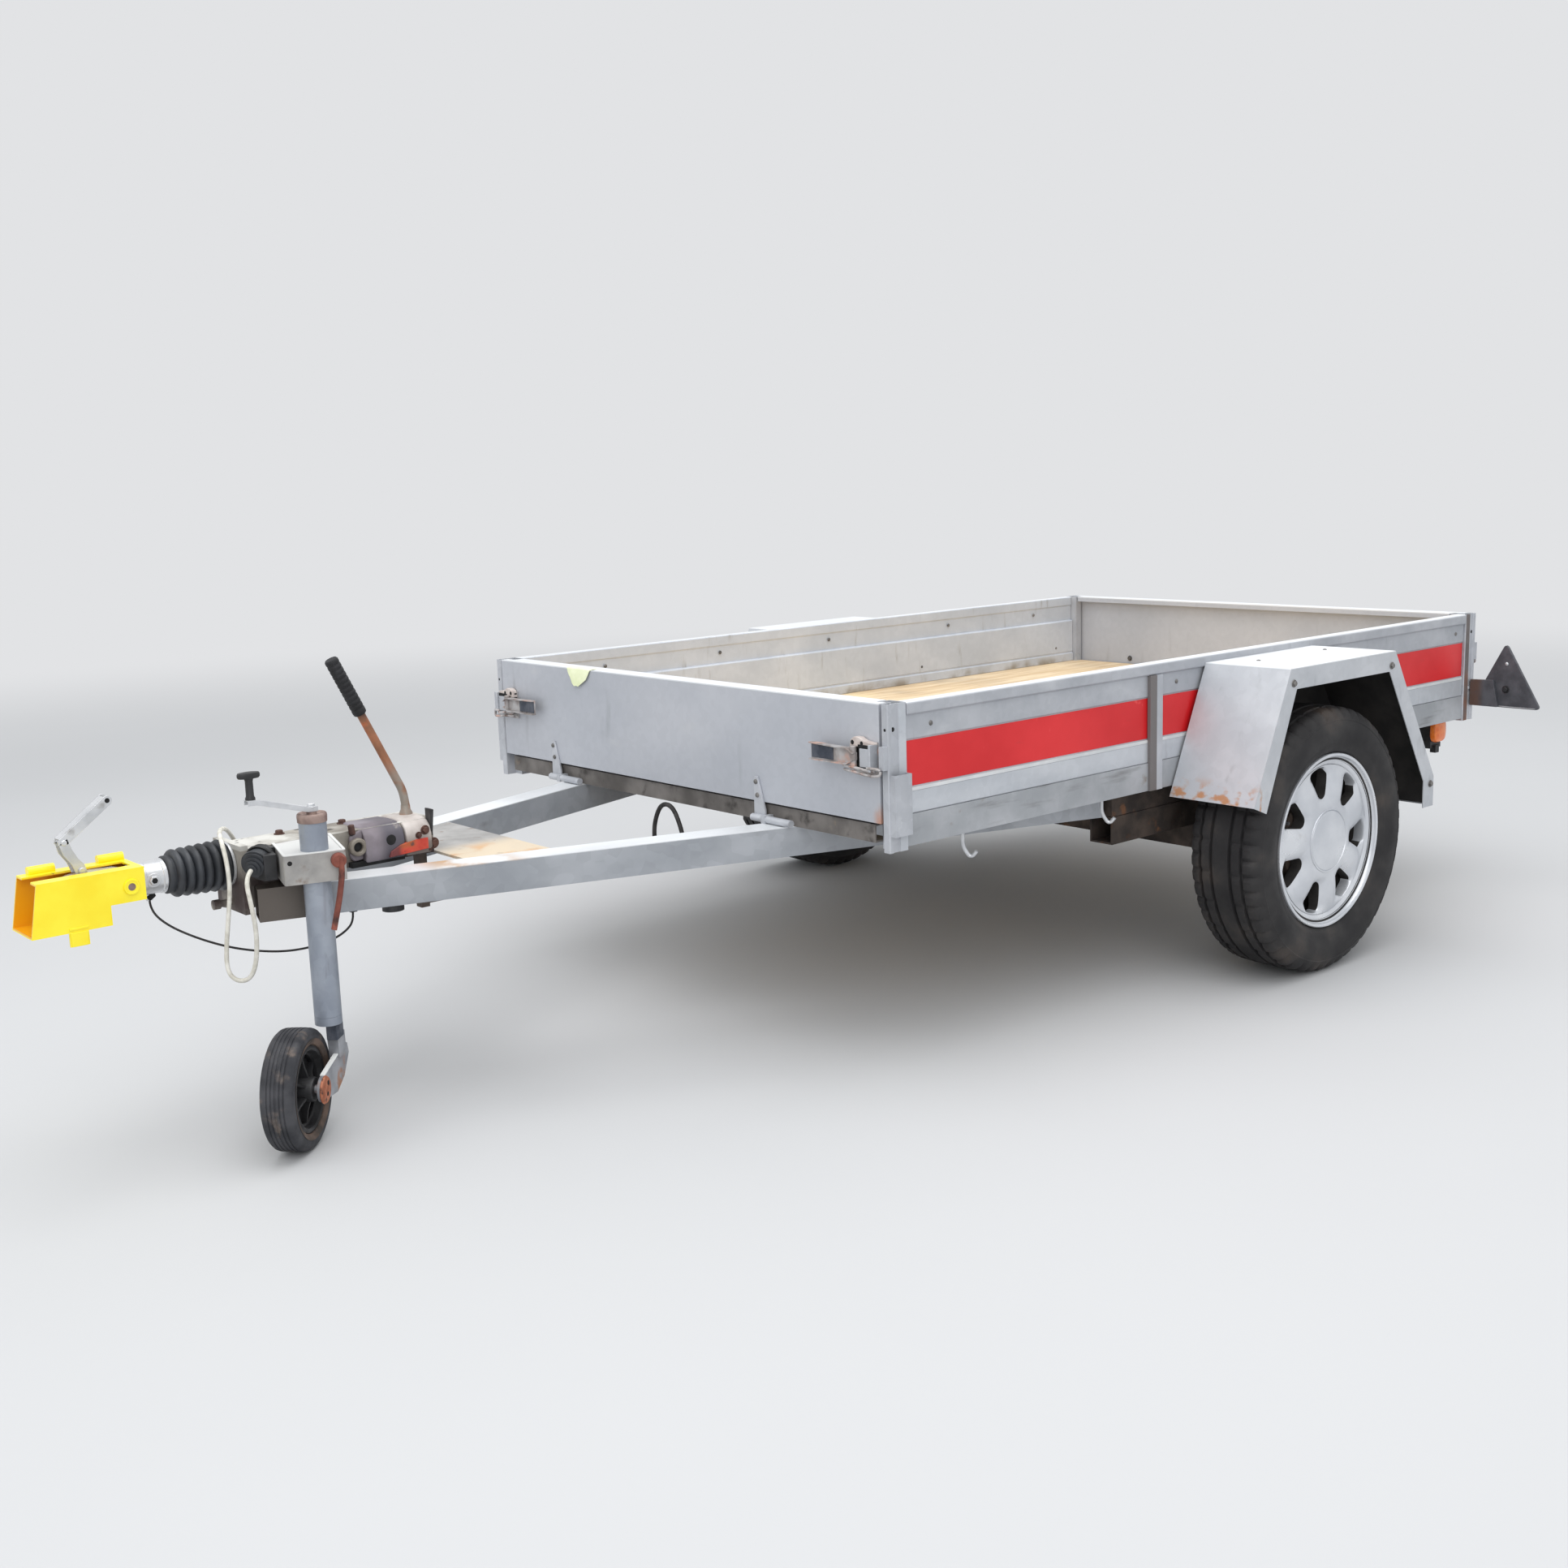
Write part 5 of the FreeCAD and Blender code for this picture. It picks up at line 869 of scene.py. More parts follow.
def latch(made, plates, ear, inside, dark):
    """One overcentre latch: base, arched ear, open lever, draw rods and hook."""
    face, middle = FRONT, LATCH_HEIGHT
    made.box((face + 0.2, face + 3), (585, 650), (580, 644))
    arch = ((587, 633), (590, 646), (599, 652), (612, 652), (626, 646), (650, 643), (650, 638.6),
            (587, 631))
    ear.prism(arch, "x", face + 1, face + 15)
    # in a pair, 0 stands for the lever's front, -1 and 1 for the back and inside of its sheet
    section = ((0, 17), (-1, 17), (-1, -17), (0, -17), (0, -14.6), (1, -14.6), (1, 14.6),
               (0, 14.6))
    rings = []
    for y, depth, reach in ((485.5, 9, 1.0), (500, 10, 1.0), (560, 13, 0.94), (592, 13, 0.94),
                            (610, 12, 0.4)):
        rings.append([(face + 19 + (depth if kind == 0 else kind * 1.6), y, middle + z * reach)
                      for kind, z in section])
    made.loops(rings)
    made.rod((face + 21, 603, 596), (face + 21, 603, 636), 6.5)
    made.rod((face + 12, 592, 598), (face + 12, 592, 634), 4)
    inside.box((face + 20.8, face + 21.4), (487, 548), (603, 629))
    plates.box((face + 3, face + 19), (617, 644), (597, 632))
    plates.box((face + 3, face + 23), (644.5, 650), (590, 641))
    # near-black wells under the ear, as painted shade
    dark.box((face + 2.8, face + 9), (588, 617), (592, 641))
    dark.box((face + 2.8, face + 17.5), (612, 644), (632.2, 638.5))
    for start, end, sink in ((597, 592, 2), (589, 583, 0)):
        rod = rounded(((face + 20 + sink, 577, start), (face + 25, 590, start),
                       (face + 25, 612, start - 1), (face + 21, 640, end),
                       (face + 16, 656, end)), 12)
        made.wire(rod, 2.8)
    hook = rounded(((face + 21, 640, 597), (face + 23, 656, 598), (face + 15, 668, 596),
                    (face + 15, 669, 585), (face + 22, 656, 583), (face + 20, 640, 584)), 6)
    made.wire(hook, 2.8)
    for y, z in ((590, 585), (640, 585)):
        made.dome((face + 3, y, z), X_AXIS, 4, 2)
    # near-black dots for the ear's holes, as painted shade
    for y, z, radius in ((595, 641, 4.6), (620, 641, 4)):
        dark.dome((face + 15, y, z), X_AXIS, radius, 0.5)


def paper_tag():
    """A torn paper tag stuck over the top edge of the front gate."""
    line = ((402, 717.0, -366, -276), (417, 717.3, -370, -272), (420.5, 714.5, -368, -278),
            (422, 704, -362, -284), (423, 693, -352, -292), (423.5, 682, -346, -312),
            (424, 676, -338, -322))
    rings = []
    for x, z, first, last in line:
        centre = (first + last) / 2
        rings.append([(x, first, z), (x, centre, z + 1.5), (x, last, z),
                      (x + 0.5, last, z + 0.5), (x + 0.5, centre, z + 2),
                      (x + 0.5, first, z + 0.5)])
    Maker().loops(rings).piece("paper_tag", "front_gate", "plate_white", paper)


def guards():
    """Bolts of the mudguards, the wall inside each arch, black as painted shade, and blocks on the
    beams that close the gap under the sills, dark as painted shade.
    """
    arch = ((-437, 443), (-553, 698), (-962, 698), (-1114, 443))
    skin = inset(((-425.5, 422), (-551.5, 700), (-963.5, 700), (-1149.5, 388),
                  (-1149.5, 316)), 5.5)
    for side, sign in SIDES:
        made = Maker(sign)
        for x, z in ((-562, 668), (-948, 668), (-1134, 372)):
            made.bolt((x, 890, z), Y_AXIS, 10, 4)
        for x, z in ((-640, 686), (-900, 686)):
            made.dome((x, 750, 700), Z_AXIS, 5, 2.5)
        made.piece(f"guard_bolts_{side}", "trailer", "zinc_steel", bolt_metal)
        # a black wall and a black sheet inside the guard, standing for the arch's shade
        arch_shade = Maker(sign).prism(arch, "y", 676.3, 678.6)
        arch_shade.prism(folded(skin, 1.2), "y", 678.7, 884)
        arch_shade.piece(f"guard_arch_shade_{side}", "trailer", "black_rubber", guard_arch_shade)
        # blocks between beams and sills, partly real steel, partly a dark fill for the shade under
        # the box
        shade_block = Maker(sign).box((-1340, -283), (596, 633), (390.2, 441.8))
        shade_block.piece(f"beam_shade_block_{side}", "trailer", "rusty_steel", rusty_steel, bevel=2)


# Road wheels

def road_wheel(side, sign):
    """Tyre with its tread cut in, alloy rim with spokes and cap, and the valve."""
    body = f"wheel_{side}"
    x, y, z = WHEEL
    half = [(180, 71.5), (195.5, 72.5), (199, 78), (206, 82), (213, 85.8), (217, 85.8), (222, 88),
            (233, 91.2), (243, 92.4), (256, 91.6), (268, 88.8), (270, 89.6), (273, 87.6),
            (281, 84), (288.5, 79.5), (293, 74.5), (295.8, 69), (296.6, 62), (296.9, 56),
            (290, 54.5), (290, 49), (297.2, 47.5), (297.6, 28), (290.5, 26.5), (290.5, 20.5),
            (298, 19), (298, 6)]
    section = half + [(r, -a) for r, a in reversed(half)]
    rings = []
    for step, turn in enumerate(around(208)):
        ring = []
        for radius, out in section:
            cut = abs(out) > 54 and radius > 279 and step % 4 == 0
            mid = 27 < abs(out) < 50 and step % 8 == 4 and radius > 292
            depth = 5.5 if cut else (3.5 if mid else 0)
            reach = radius - depth
            ring.append((x + math.cos(turn) * reach, y + out, z + math.sin(turn) * reach))
        rings.append(ring)
    tyre = Maker(sign).loops(rings, wrap=True)
    tyre.piece(f"road_tyre_{side}", body, "tyre_rubber", tyre_rubber, angle=30,
               replaces=[f"tyre_{side}"])

    rim = Maker(sign)
    centre = (x, y, z)
    lip = ((166, 56), (168, 63), (172, 67), (178, 68.5), (184, 71), (187, 75), (188, 79.5),
           (190, 81), (193.5, 81), (195, 79.5), (195, 72.5), (178, 70), (178, -71), (195, -72.5),
           (195, -79), (192, -81), (187, -79), (166, -70), (165, 0))
    rim.lathe(lip, centre, Y_AXIS, 96, wrap=True)
    cap = ((0.1, 80), (40, 79.6), (60, 78.4), (66, 77.4), (67.5, 75.6), (69, 77.6), (71, 77.6),
           (72.5, 75), (72.5, 60))
    rim.lathe(cap, centre, Y_AXIS, 72)
    spokes(rim, centre)

    def deep(middle, normal):
        """True for the faces deep in the windows, which get painted shade."""
        middle = middle - Vector((x, y * sign, z))
        reach = math.hypot(middle.x, middle.z)
        return middle.y * sign < (56 if reach < 160 else 46) and reach < 178.5

    rim.paint(deep)
    rim.piece(f"alloy_wheel_{side}", body, "alloy", alloy, rim_inner_shade, angle=34,
              replaces=[f"rim_{side}"])

    valve = Maker(sign).rod((x + 150, y + 55, z + 62), (x + 146, y + 70, z + 60), 4)
    valve.piece(f"valve_{side}", body, "black_plastic", black_plastic)


def spokes(rim, centre, count=7):
    """The wheel's face: seven sectors, each a skin round one window."""
    half = math.pi / count
    window = rounded(((128, 41), (160, 37), (166, 0), (160, -37), (99, -12), (94, 0), (99, 12),
                      (160, 37), (166, 0)), 16, 6)
    window = [tuple(p) for p in window[8:-7]]
    middle = Vector((WINDOW_MIDDLE, 0))

    def edge_of_window(direction):
        """Where a ray from the window's middle meets the window's outline."""
        best = None
        for number, first in enumerate(window):
            second = Vector(window[(number + 1) % len(window)])
            first = Vector(first)
            run = second - first
            cross = direction.x * run.y - direction.y * run.x
            if abs(cross) < 1e-9:
                continue
            offset = first - middle
            reach = (offset.x * run.y - offset.y * run.x) / cross
            share = (offset.x * direction.y - offset.y * direction.x) / cross
            if reach > 0 and -1e-6 <= share <= 1 + 1e-6 and (best is None or reach < best):
                best = reach
        return middle + direction * best

    def edge_of_sector(direction):
        """Where the same ray leaves the sector between cap, rim and the next spokes."""
        low, high = 0.0, 200.0
        for _ in range(40):
            reach = (low + high) / 2
            spot = middle + direction * reach
            inside = (CAP_RADIUS < spot.length < FACE_RADIUS and spot.x > 0
                      and abs(math.atan2(spot.y, spot.x)) < half)
            low, high = (reach, high) if inside else (low, reach)
        return middle + direction * low

    corners = [Vector((math.cos(half) * r, math.sin(half) * r)) - middle
               for r in (CAP_RADIUS, FACE_RADIUS)]
    turns = [math.atan2(c.y, c.x) for c in corners]
    turns = sorted({round(t, 5) for t in [k * math.pi / 24 for k in range(25)] + turns})
    turns = turns + [-t for t in reversed(turns) if 1e-4 < t < math.pi - 1e-4]
    lines = []
    for turn in turns:
        direction = Vector((math.cos(turn), math.sin(turn)))
        inner, outer = edge_of_window(direction), edge_of_sector(direction)
        spots = []
        for share in (1, 0.75, 0.5, 0.3, 0.16, 0.06, 0):
            spot = inner.lerp(outer, share)
            fall = (spot.length - 72) / 97      # 0 at the cap, 1 at the rim
            crown = 75.5 - 3 * fall - 8 * fall ** 4
            spots.append((spot, crown - 9 * (1 - share) ** 3))
        spots.append((inner, 38))
        spots.append((outer, 38))
        lines.append(spots)
    x, y, z = centre
    for turn in around(count, 0.5):
        spin = turn + math.pi / 2 + 0.3
        rows = []
        for level in range(len(lines[0])):
            row = []
            for spots in lines:
                spot, out = spots[level]
                a = spot.x * math.cos(spin) - spot.y * math.sin(spin)
                b = spot.x * math.sin(spin) + spot.y * math.cos(spin)
                row.append((x + a, y + out, z + b))
            rows.append(row)
        rim.loops(rows, caps=False)


# Coupling, gaiter and lock box

def coupling():
    """Gaiter, collar with its bolts, coupling head, handle and the lock's small parts."""
    made = Maker()
    line = [(24.2, 0), (38, 0), (38, 4)]
    for number in range(6):
        start = 7 + number * 16.5
        swell = 46 - number * 0.7
        for share in (0, 0.12, 0.3, 0.5, 0.7, 0.88):
            swollen = 34 + (swell - 34) * math.sin(math.pi * share) ** 0.6
            line.append((swollen, start + 16.5 * share))
    line += [(33, 105), (33, 108), (24.2, 108)]
    made.lathe(line, (1403.5, 0, SHAFT_HEIGHT), X_AXIS, 64)
    made.lathe(((28.3, 107), (33, 107), (33.5, 109), (33.5, 116), (31, 118), (28.3, 118)),
               (1403.5, 0, SHAFT_HEIGHT), X_AXIS, 48, wrap=True)
    made.piece("gaiter_pleated", "trailer", "black_rubber", black_rubber, angle=60,
               replaces=["gaiter"])
    band = Maker()
    band.lathe(((38, 0), (39.6, 0.6), (39.6, 5), (38, 5.6), (36, 3)),
               (1403.7, 0, SHAFT_HEIGHT), X_AXIS, 48, wrap=True)
    band.lathe(((28.2, 0), (30.5, 1), (30.5, 7), (29, 8), (29, 36), (30.5, 37), (30.5, 47),
                (28.2, 48)), (1522, 0, SHAFT_HEIGHT), X_AXIS, 48, wrap=True)
    for side in (1, -1):
        band.bolt((1548, 28 * side, SHAFT_HEIGHT), Y_AXIS * side, 15, 4)
    band.piece("neck_collar", "trailer", "zinc_steel", zinc_steel, bevel=0.4)
    dark = Maker()
    # a near-black hole and gap at the collar, as painted shade
    dark.lathe(((0.1, 0), (5.2, 0), (5.2, 1), (0.1, 1)), (1548, 33.6, SHAFT_HEIGHT), Y_AXIS, 6)
    dark.rod((1540, 0, 458), (1552, 0, 450), 6)
    dark.piece("neck_bolt_hole", "trailer", "black_plastic", hole_and_gap_shade)
    nose = ((1581.5, 466), (1636, 466), (1648, 444), (1684, 441), (1704, 450), (1711, 470),
            (1708, 490), (1696, 505), (1676, 512), (1640, 514.5), (1600, 513), (1581.5, 508))
    head = Maker().prism(nose, "y", -29, 29)
    head.piece("coupling_body", "trailer", "zinc_steel", zinc_steel, bevel=6,
               replaces=["coupling_head"])
    pressed_handle()
    lock_parts()


def pressed_handle():
    """The coupling's lifted handle: two cheeks, a top plate and the curved link below."""
    handle = Maker()
    knee, tip = Vector((1687, 0, 573)), Vector((1607.5, 0, 633.5))
    slope = (tip - knee).normalized()
    up = Vector((slope.z, 0, -slope.x))
    for y in (-13, 10.5):
        round_tip = [tip + (slope * math.sin(t) - up * math.cos(t)) * 8.5
                     for t in (math.pi * k / 8 for k in range(9))]
        line = [knee - up * 8 + slope * 4] + round_tip + [knee + up * 8, knee + up * 2 - slope * 8]
        handle.prism([(p.x, p.z) for p in line], "y", y, y + 2.5)
        low = [(1679, 580), (1693, 571), (1688, 552), (1676, 534), (1670, 516), (1651, 516),
               (1655, 531), (1665, 544), (1673, 560)]
        handle.prism(low, "y", y, y + 2.5)
    top = [knee + up * 8, tip + up * 8.5]
    plate = [(p.x, p.z) for p in (top[0], top[1], top[1] - up * 2.5, top[0] - up * 2.5)]
    handle.prism(plate, "y", -12.8, 12.8)
    for x, z, reach, radius in ((1685, 573, 15.5, 5), (1661, 522, 17, 5.5)):
        handle.rod((x, -reach, z), (x, reach, z), radius)
    handle.piece("pressed_handle", "trailer", "zinc_steel", zinc_steel, bevel=0.6,
                 replaces=["coupling_handle"])
    holes = Maker()
    # near-black discs for the handle's holes, as painted shade
    for y, axis in ((13.1, Y_AXIS), (-13.1, -Y_AXIS)):
        holes.lathe(((0.1, 0), (4.2, 0), (4.2, 0.3), (0.1, 0.3)), (1607.5, y, 633.5), axis, 20)
    holes.piece("handle_hole", "trailer", "zinc_steel", hole_and_gap_shade)


def lock_parts():
    """Ring, recess and barrel of the lock, and the folded tab below."""
    centre = (1594.5, 50, 488)
    lock = Maker()
    lock.lathe(((9.5, 0), (13, 0), (14, 1.2), (13, 3.6), (10.4, 3.6), (9.5, 2)), centre, Y_AXIS,
               32, wrap=True)
    lock.piece("lock_ring", "trailer", "yellow_paint", yellow_paint)
    # a near-black disc for the lock's recess, as painted shade
    recess = Maker().lathe(((0.1, 1), (9.6, 1), (9.6, 1.6), (0.1, 1.6)), centre, Y_AXIS, 28)
    recess.piece("lock_recess", "trailer", "black_plastic", hole_and_gap_shade)
    barrel = Maker().lathe(((0.1, 3.4), (5.4, 3.4), (7, 2.8), (7.2, 1.4)), centre, Y_AXIS, 28)
    barrel.piece("lock_barrel", "trailer", "rusty_steel", cap_metal)
    fold = Maker()
    fold.prism(((1671.5, 432), (1703.5, 432), (1703.5, 436), (1671.5, 436)), "y", 49.8, 51.5)
    fold.prism(((1674, 404), (1701, 404), (1702.5, 428), (1672.5, 428)), "y", 49.8, 52.2)
    fold.piece("lock_tab_face", "trailer", "yellow_paint", yellow_paint, bevel=0.8)


# Jockey wheel

def jockey():
    """Cap, crank and grip on the jockey tube, then its clamp and wheel."""
    x, y = JOCKEY
    cap = Maker()
    cap.lathe(((23, -14), (25.6, -13), (26, -3), (25.6, 0.5), (24, 2.5), (21.5, 2.2), (19.5, 0.4),
               (17.5, -1), (9, -0.5), (8.5, 5), (0.1, 5.5)), (x, y, 583), Z_AXIS, 40)
    cap.piece("jockey_cap", "jockey_leg", "rusty_steel", cap_metal)
    crank = Maker()
    section = folded(((-7, -5.5), (-7, 2), (7, 2), (7, -5.5)), 1.8)
    path = ((x - 9, y, 593.5), (x + 8, y, 594), (x + 54, y, 607), (x + 100, y, 620),
            (x + 116, y, 620.5))
    crank.bar(path, section)
    crank.rod((x, y, 580), (x, y, 594), 7.5)
    crank.bolt((x, y, 595.5), Z_AXIS, 12, 5)
    crank.piece("crank_channel", "jockey_leg", "zinc_steel", zinc_steel, bevel=0.4,
                replaces=["jockey_crank"])
    grip = Maker()
    knob = x + 108
    grip.lathe(((0.1, 0), (8.5, 0), (8.5, 3), (6.8, 7), (6.6, 32), (8, 38), (8, 40)),
               (knob, y, 624), Z_AXIS, 28)
    rings = []
    for share, level in ((0.5, 660.5), (0.9, 661.5), (1, 664), (1, 668.5), (0.92, 671),
                         (0.5, 672)):
        rings.append([(knob + 20 * share * math.cos(t), y + 12 * share * math.sin(t), level)
                      for t in around(32)])
    grip.loops(rings)
    grip.piece("crank_grip", "jockey_leg", "black_plastic", black_plastic,
               replaces=["jockey_grip"])
    clamp_parts()
    castor()


def clamp_parts():
    """A clamp in line with the drawbar arm, round the jockey tube, with its hanging lever."""
    x, y = JOCKEY
    plan = ((1341, 49), (1375, 168), (1273, 199), (1228, 49))
    clamp = Maker()
    line = [tuple(p) for p in rounded(plan, 6)]
    clamp.prism(folded(line, 5), "z", 467, 521)
    clamp.lathe(((24.3, 0), (26, 0), (26, 52), (24.3, 52)), (x, y, 468), Z_AXIS, 40, wrap=True)
    clamp.box((1230, 1340), (48.2, 54), (458, 519))
    # the clamp's forward face beside the arm is painted black as shade
    clamp.paint(lambda middle, normal: middle.y > 56 and middle.x > 1344 and normal.x > 0.8)
    clamp.piece("clamp_bracket", "trailer", "rusty_steel", clamp_metal, black_plastic, bevel=1.2,
                replaces=["jockey_clamp"])
    lid = Maker().prism([tuple(p) for p in inset(plan, 5.2)], "z", 514, 519.5)
    lid.piece("clamp_lid", "trailer", "rusty_steel", clamp_metal)
    outward = Vector((0.29, 0.957, 0))
    # a near-black dot for the clamp's hole, as painted shade
    hole = Maker().dome((1365, 171.2, 506), outward, 4.2, 0.5)
    hole.piece("clamp_hole", "trailer", "rusty_steel", hole_and_gap_shade)
    lever = Maker()
    lever.lathe(((0.1, 0), (12, 0), (13, 2), (13, 11), (10, 14), (0.1, 15)), (1287, 195, 504),
                outward, 28)
    line = rounded(((1287, 206, 509), (1287, 207, 480), (1295, 206, 438), (1309, 204, 384)), 14)
    lever.bar(line, [(7 * math.cos(t), 4.5 * math.sin(t)) for t in around(14)])
    lever.piece("clamp_lever", "trailer", "rusty_steel", rust_red, replaces=["clamp_handle"])


def castor():
    """The small wheel, the plate that carries it and the block at the tube's foot."""
    x, y = JOCKEY
    ahead = Vector((math.cos(FORK_TURN), math.sin(FORK_TURN), 0))
    out = Vector((-ahead.y, ahead.x, 0))
    foot = Vector((x, y, 0))

    def slab(maker, outline, low, high):
        """A flat piece: points are ahead of the tube and up, thick along the axle."""
        maker.loops([[foot + ahead * a + out * level + Z_AXIS * b for a, b in outline]
                     for level in (low, high)])

    plate = Maker()
    boss = [(68 + 23 * math.cos(t), 106 + 23 * math.sin(t))
            for t in (math.radians(75 - 15 * k) for k in range(13))]
    outline = [(-72, 126), (-66, 146), (-50, 150)] + boss + [(0, 76), (-40, 92)]
    slab(plate, outline, 1, 7)
    slab(plate, ((-46, 140), (-10, 136), (-6, 178), (-44, 178)), -8, 12)
    plate.rod(foot + Z_AXIS * 205, foot + Z_AXIS * 310, 19.8, 32)
    plate.rod(foot + ahead * 72 + out * -76 + Z_AXIS * HUB_HEIGHT,
              foot + ahead * 72 + out * 8 + Z_AXIS * HUB_HEIGHT, 7.5)
    plate.piece("jockey_plate", "jockey_swivel", "galvanised_steel", fork_metal, bevel=0.8,
                replaces=["jockey_fork"])
    collar = Maker().lathe(((20, 0), (24, 0), (24, 15), (20, 15)), foot + Z_AXIS * 204.6, Z_AXIS,
                           32, wrap=True)
    collar.piece("jockey_foot_collar", "jockey_swivel", "galvanised_steel", tube_metal)
    # a near-white strip along the plate's top edge, a painted highlight
    edge = Maker()
    slab(edge, ((-50, 148.5), (-50, 151), (66, 131), (66, 128.5)), 0.4, 8.5)
    edge.piece("jockey_plate_edge", "jockey_swivel", "galvanised_steel", plate_edge_highlight)
    block = Maker()
    slab(block, ((-32, 172), (2, 172), (2, 205), (-32, 205)), -6, 15)
    block.piece("jockey_foot_block", "jockey_swivel", "rusty_steel", latch_inside, bevel=2)
    nut, holes = Maker(), Maker()
    face = foot + ahead * 69 + Z_AXIS * 105
    nut.lathe(((0.1, 7), (24, 7), (25, 8.5), (23, 11.5), (0.1, 12.5)), face, out, 32)
    nut.piece("jockey_boss", "jockey_swivel", "rusty_steel", rust_orange)
    # near-black dots for the boss's holes, as painted shade
    for along, high in ((-9, 10), (-3, -8)):
        holes.dome(face + out * 11.6 + ahead * along + Z_AXIS * high, out, 4.6, 1.6)
    holes.piece("jockey_boss_holes", "jockey_swivel", "rusty_steel", hole_and_gap_shade)
    castor_wheel(Vector((1390.05, 178.27, HUB_HEIGHT)), out)


def castor_wheel(hub, out):
    """Grooved tyre, worn ring and ribbed hub of the small wheel."""
    half_line = [(76.5, 22), (82, 27.5), (88, 29.6), (92, 29.9), (96, 29), (98, 29.4), (102, 27.5),
                 (105.5, 23.5), (106.6, 20), (106.6, 16), (105.2, 15), (105.2, 14), (107, 13),
                 (107, 9), (105.6, 8), (105.6, 7), (107.2, 6), (107.2, 2), (105.8, 1)]
    section = half_line + [(r, -a) for r, a in reversed(half_line)]
    tyre = Maker().lathe(section, hub, out, 96, wrap=True)
    tyre.piece("jockey_tyre_worn", "jockey_wheel", "black_rubber", jockey_rubber,
               replaces=["jockey_tyre"])
    ring = Maker()
    for turn in (1, -1):
        ring.lathe(((77, 24 * turn), (84, 29.2 * turn), (88, 30.3 * turn), (78, 26.5 * turn)), hub,
                   out, 72, wrap=True)
    ring.piece("jockey_rim_ring", "jockey_wheel", "rusty_steel", ring_rust)
    core = Maker()
    core.lathe(((60, -25), (76, -24), (76, 24), (71, 26), (68, 24), (64, 14), (60, 12)), hub, out,
               64, wrap=True)
    core.lathe(((8.2, -34), (20, -34), (22, -30), (22, 30), (20, 34), (8.2, 34)), hub, out, 40,
               wrap=True)
    core.lathe(((20, -4), (62, -4), (62, 4), (20, 4)), hub, out, 48, wrap=True)
    side = Z_AXIS.cross(out)
    for turn in around(6):
        along = Z_AXIS * math.cos(turn) + side * math.sin(turn)
        wide = Z_AXIS * -math.sin(turn) + side * math.cos(turn)
        rings = []
        for reach, deep in ((19, 24), (40, 17), (63, 13)):
            spot = hub + along * reach
            rings.append([spot + wide * 2.5 - out * deep, spot + wide * 2.5 + out * deep,
                          spot - wide * 2.5 + out * deep, spot - wide * 2.5 - out * deep])
        core.loops(rings)
    core.piece("jockey_hub_ribbed", "jockey_wheel", "black_plastic", black_plastic, bevel=0.6,
               replaces=["jockey_hub"])


# Handbrake

def handbrake():
    """The housing, a rubber strip beside it and the ribbed grip."""
    brake_body()
    strip = Maker().prism(((1024, 536), (1032, 538), (1032, 488), (1029, 486)), "y", 46, 67)
    strip.piece("brake_strip", "trailer", "black_plastic", black_plastic, bevel=1.5)
    slope = Vector((126, 0, 262)).normalized()
    end = Vector((1176.5, 0, 830))
    line = [(0.1, 0), (11, 0), (12.5, 2)]
    for number in range(11):
        start = 6 + number * 9.4
        line += [(12.9, start), (12.9, start + 5.4), (12.2, start + 6.4), (12.2, start + 8.4)]
    line += [(13, 110), (13, 115), (11, 118), (0.1, 118.4)]
    grip = Maker().lathe(line, end - slope * 118, slope, 32)
    grip.piece("brake_grip", "trailer", "black_rubber", grip_rubber, replaces=["handbrake_grip"])


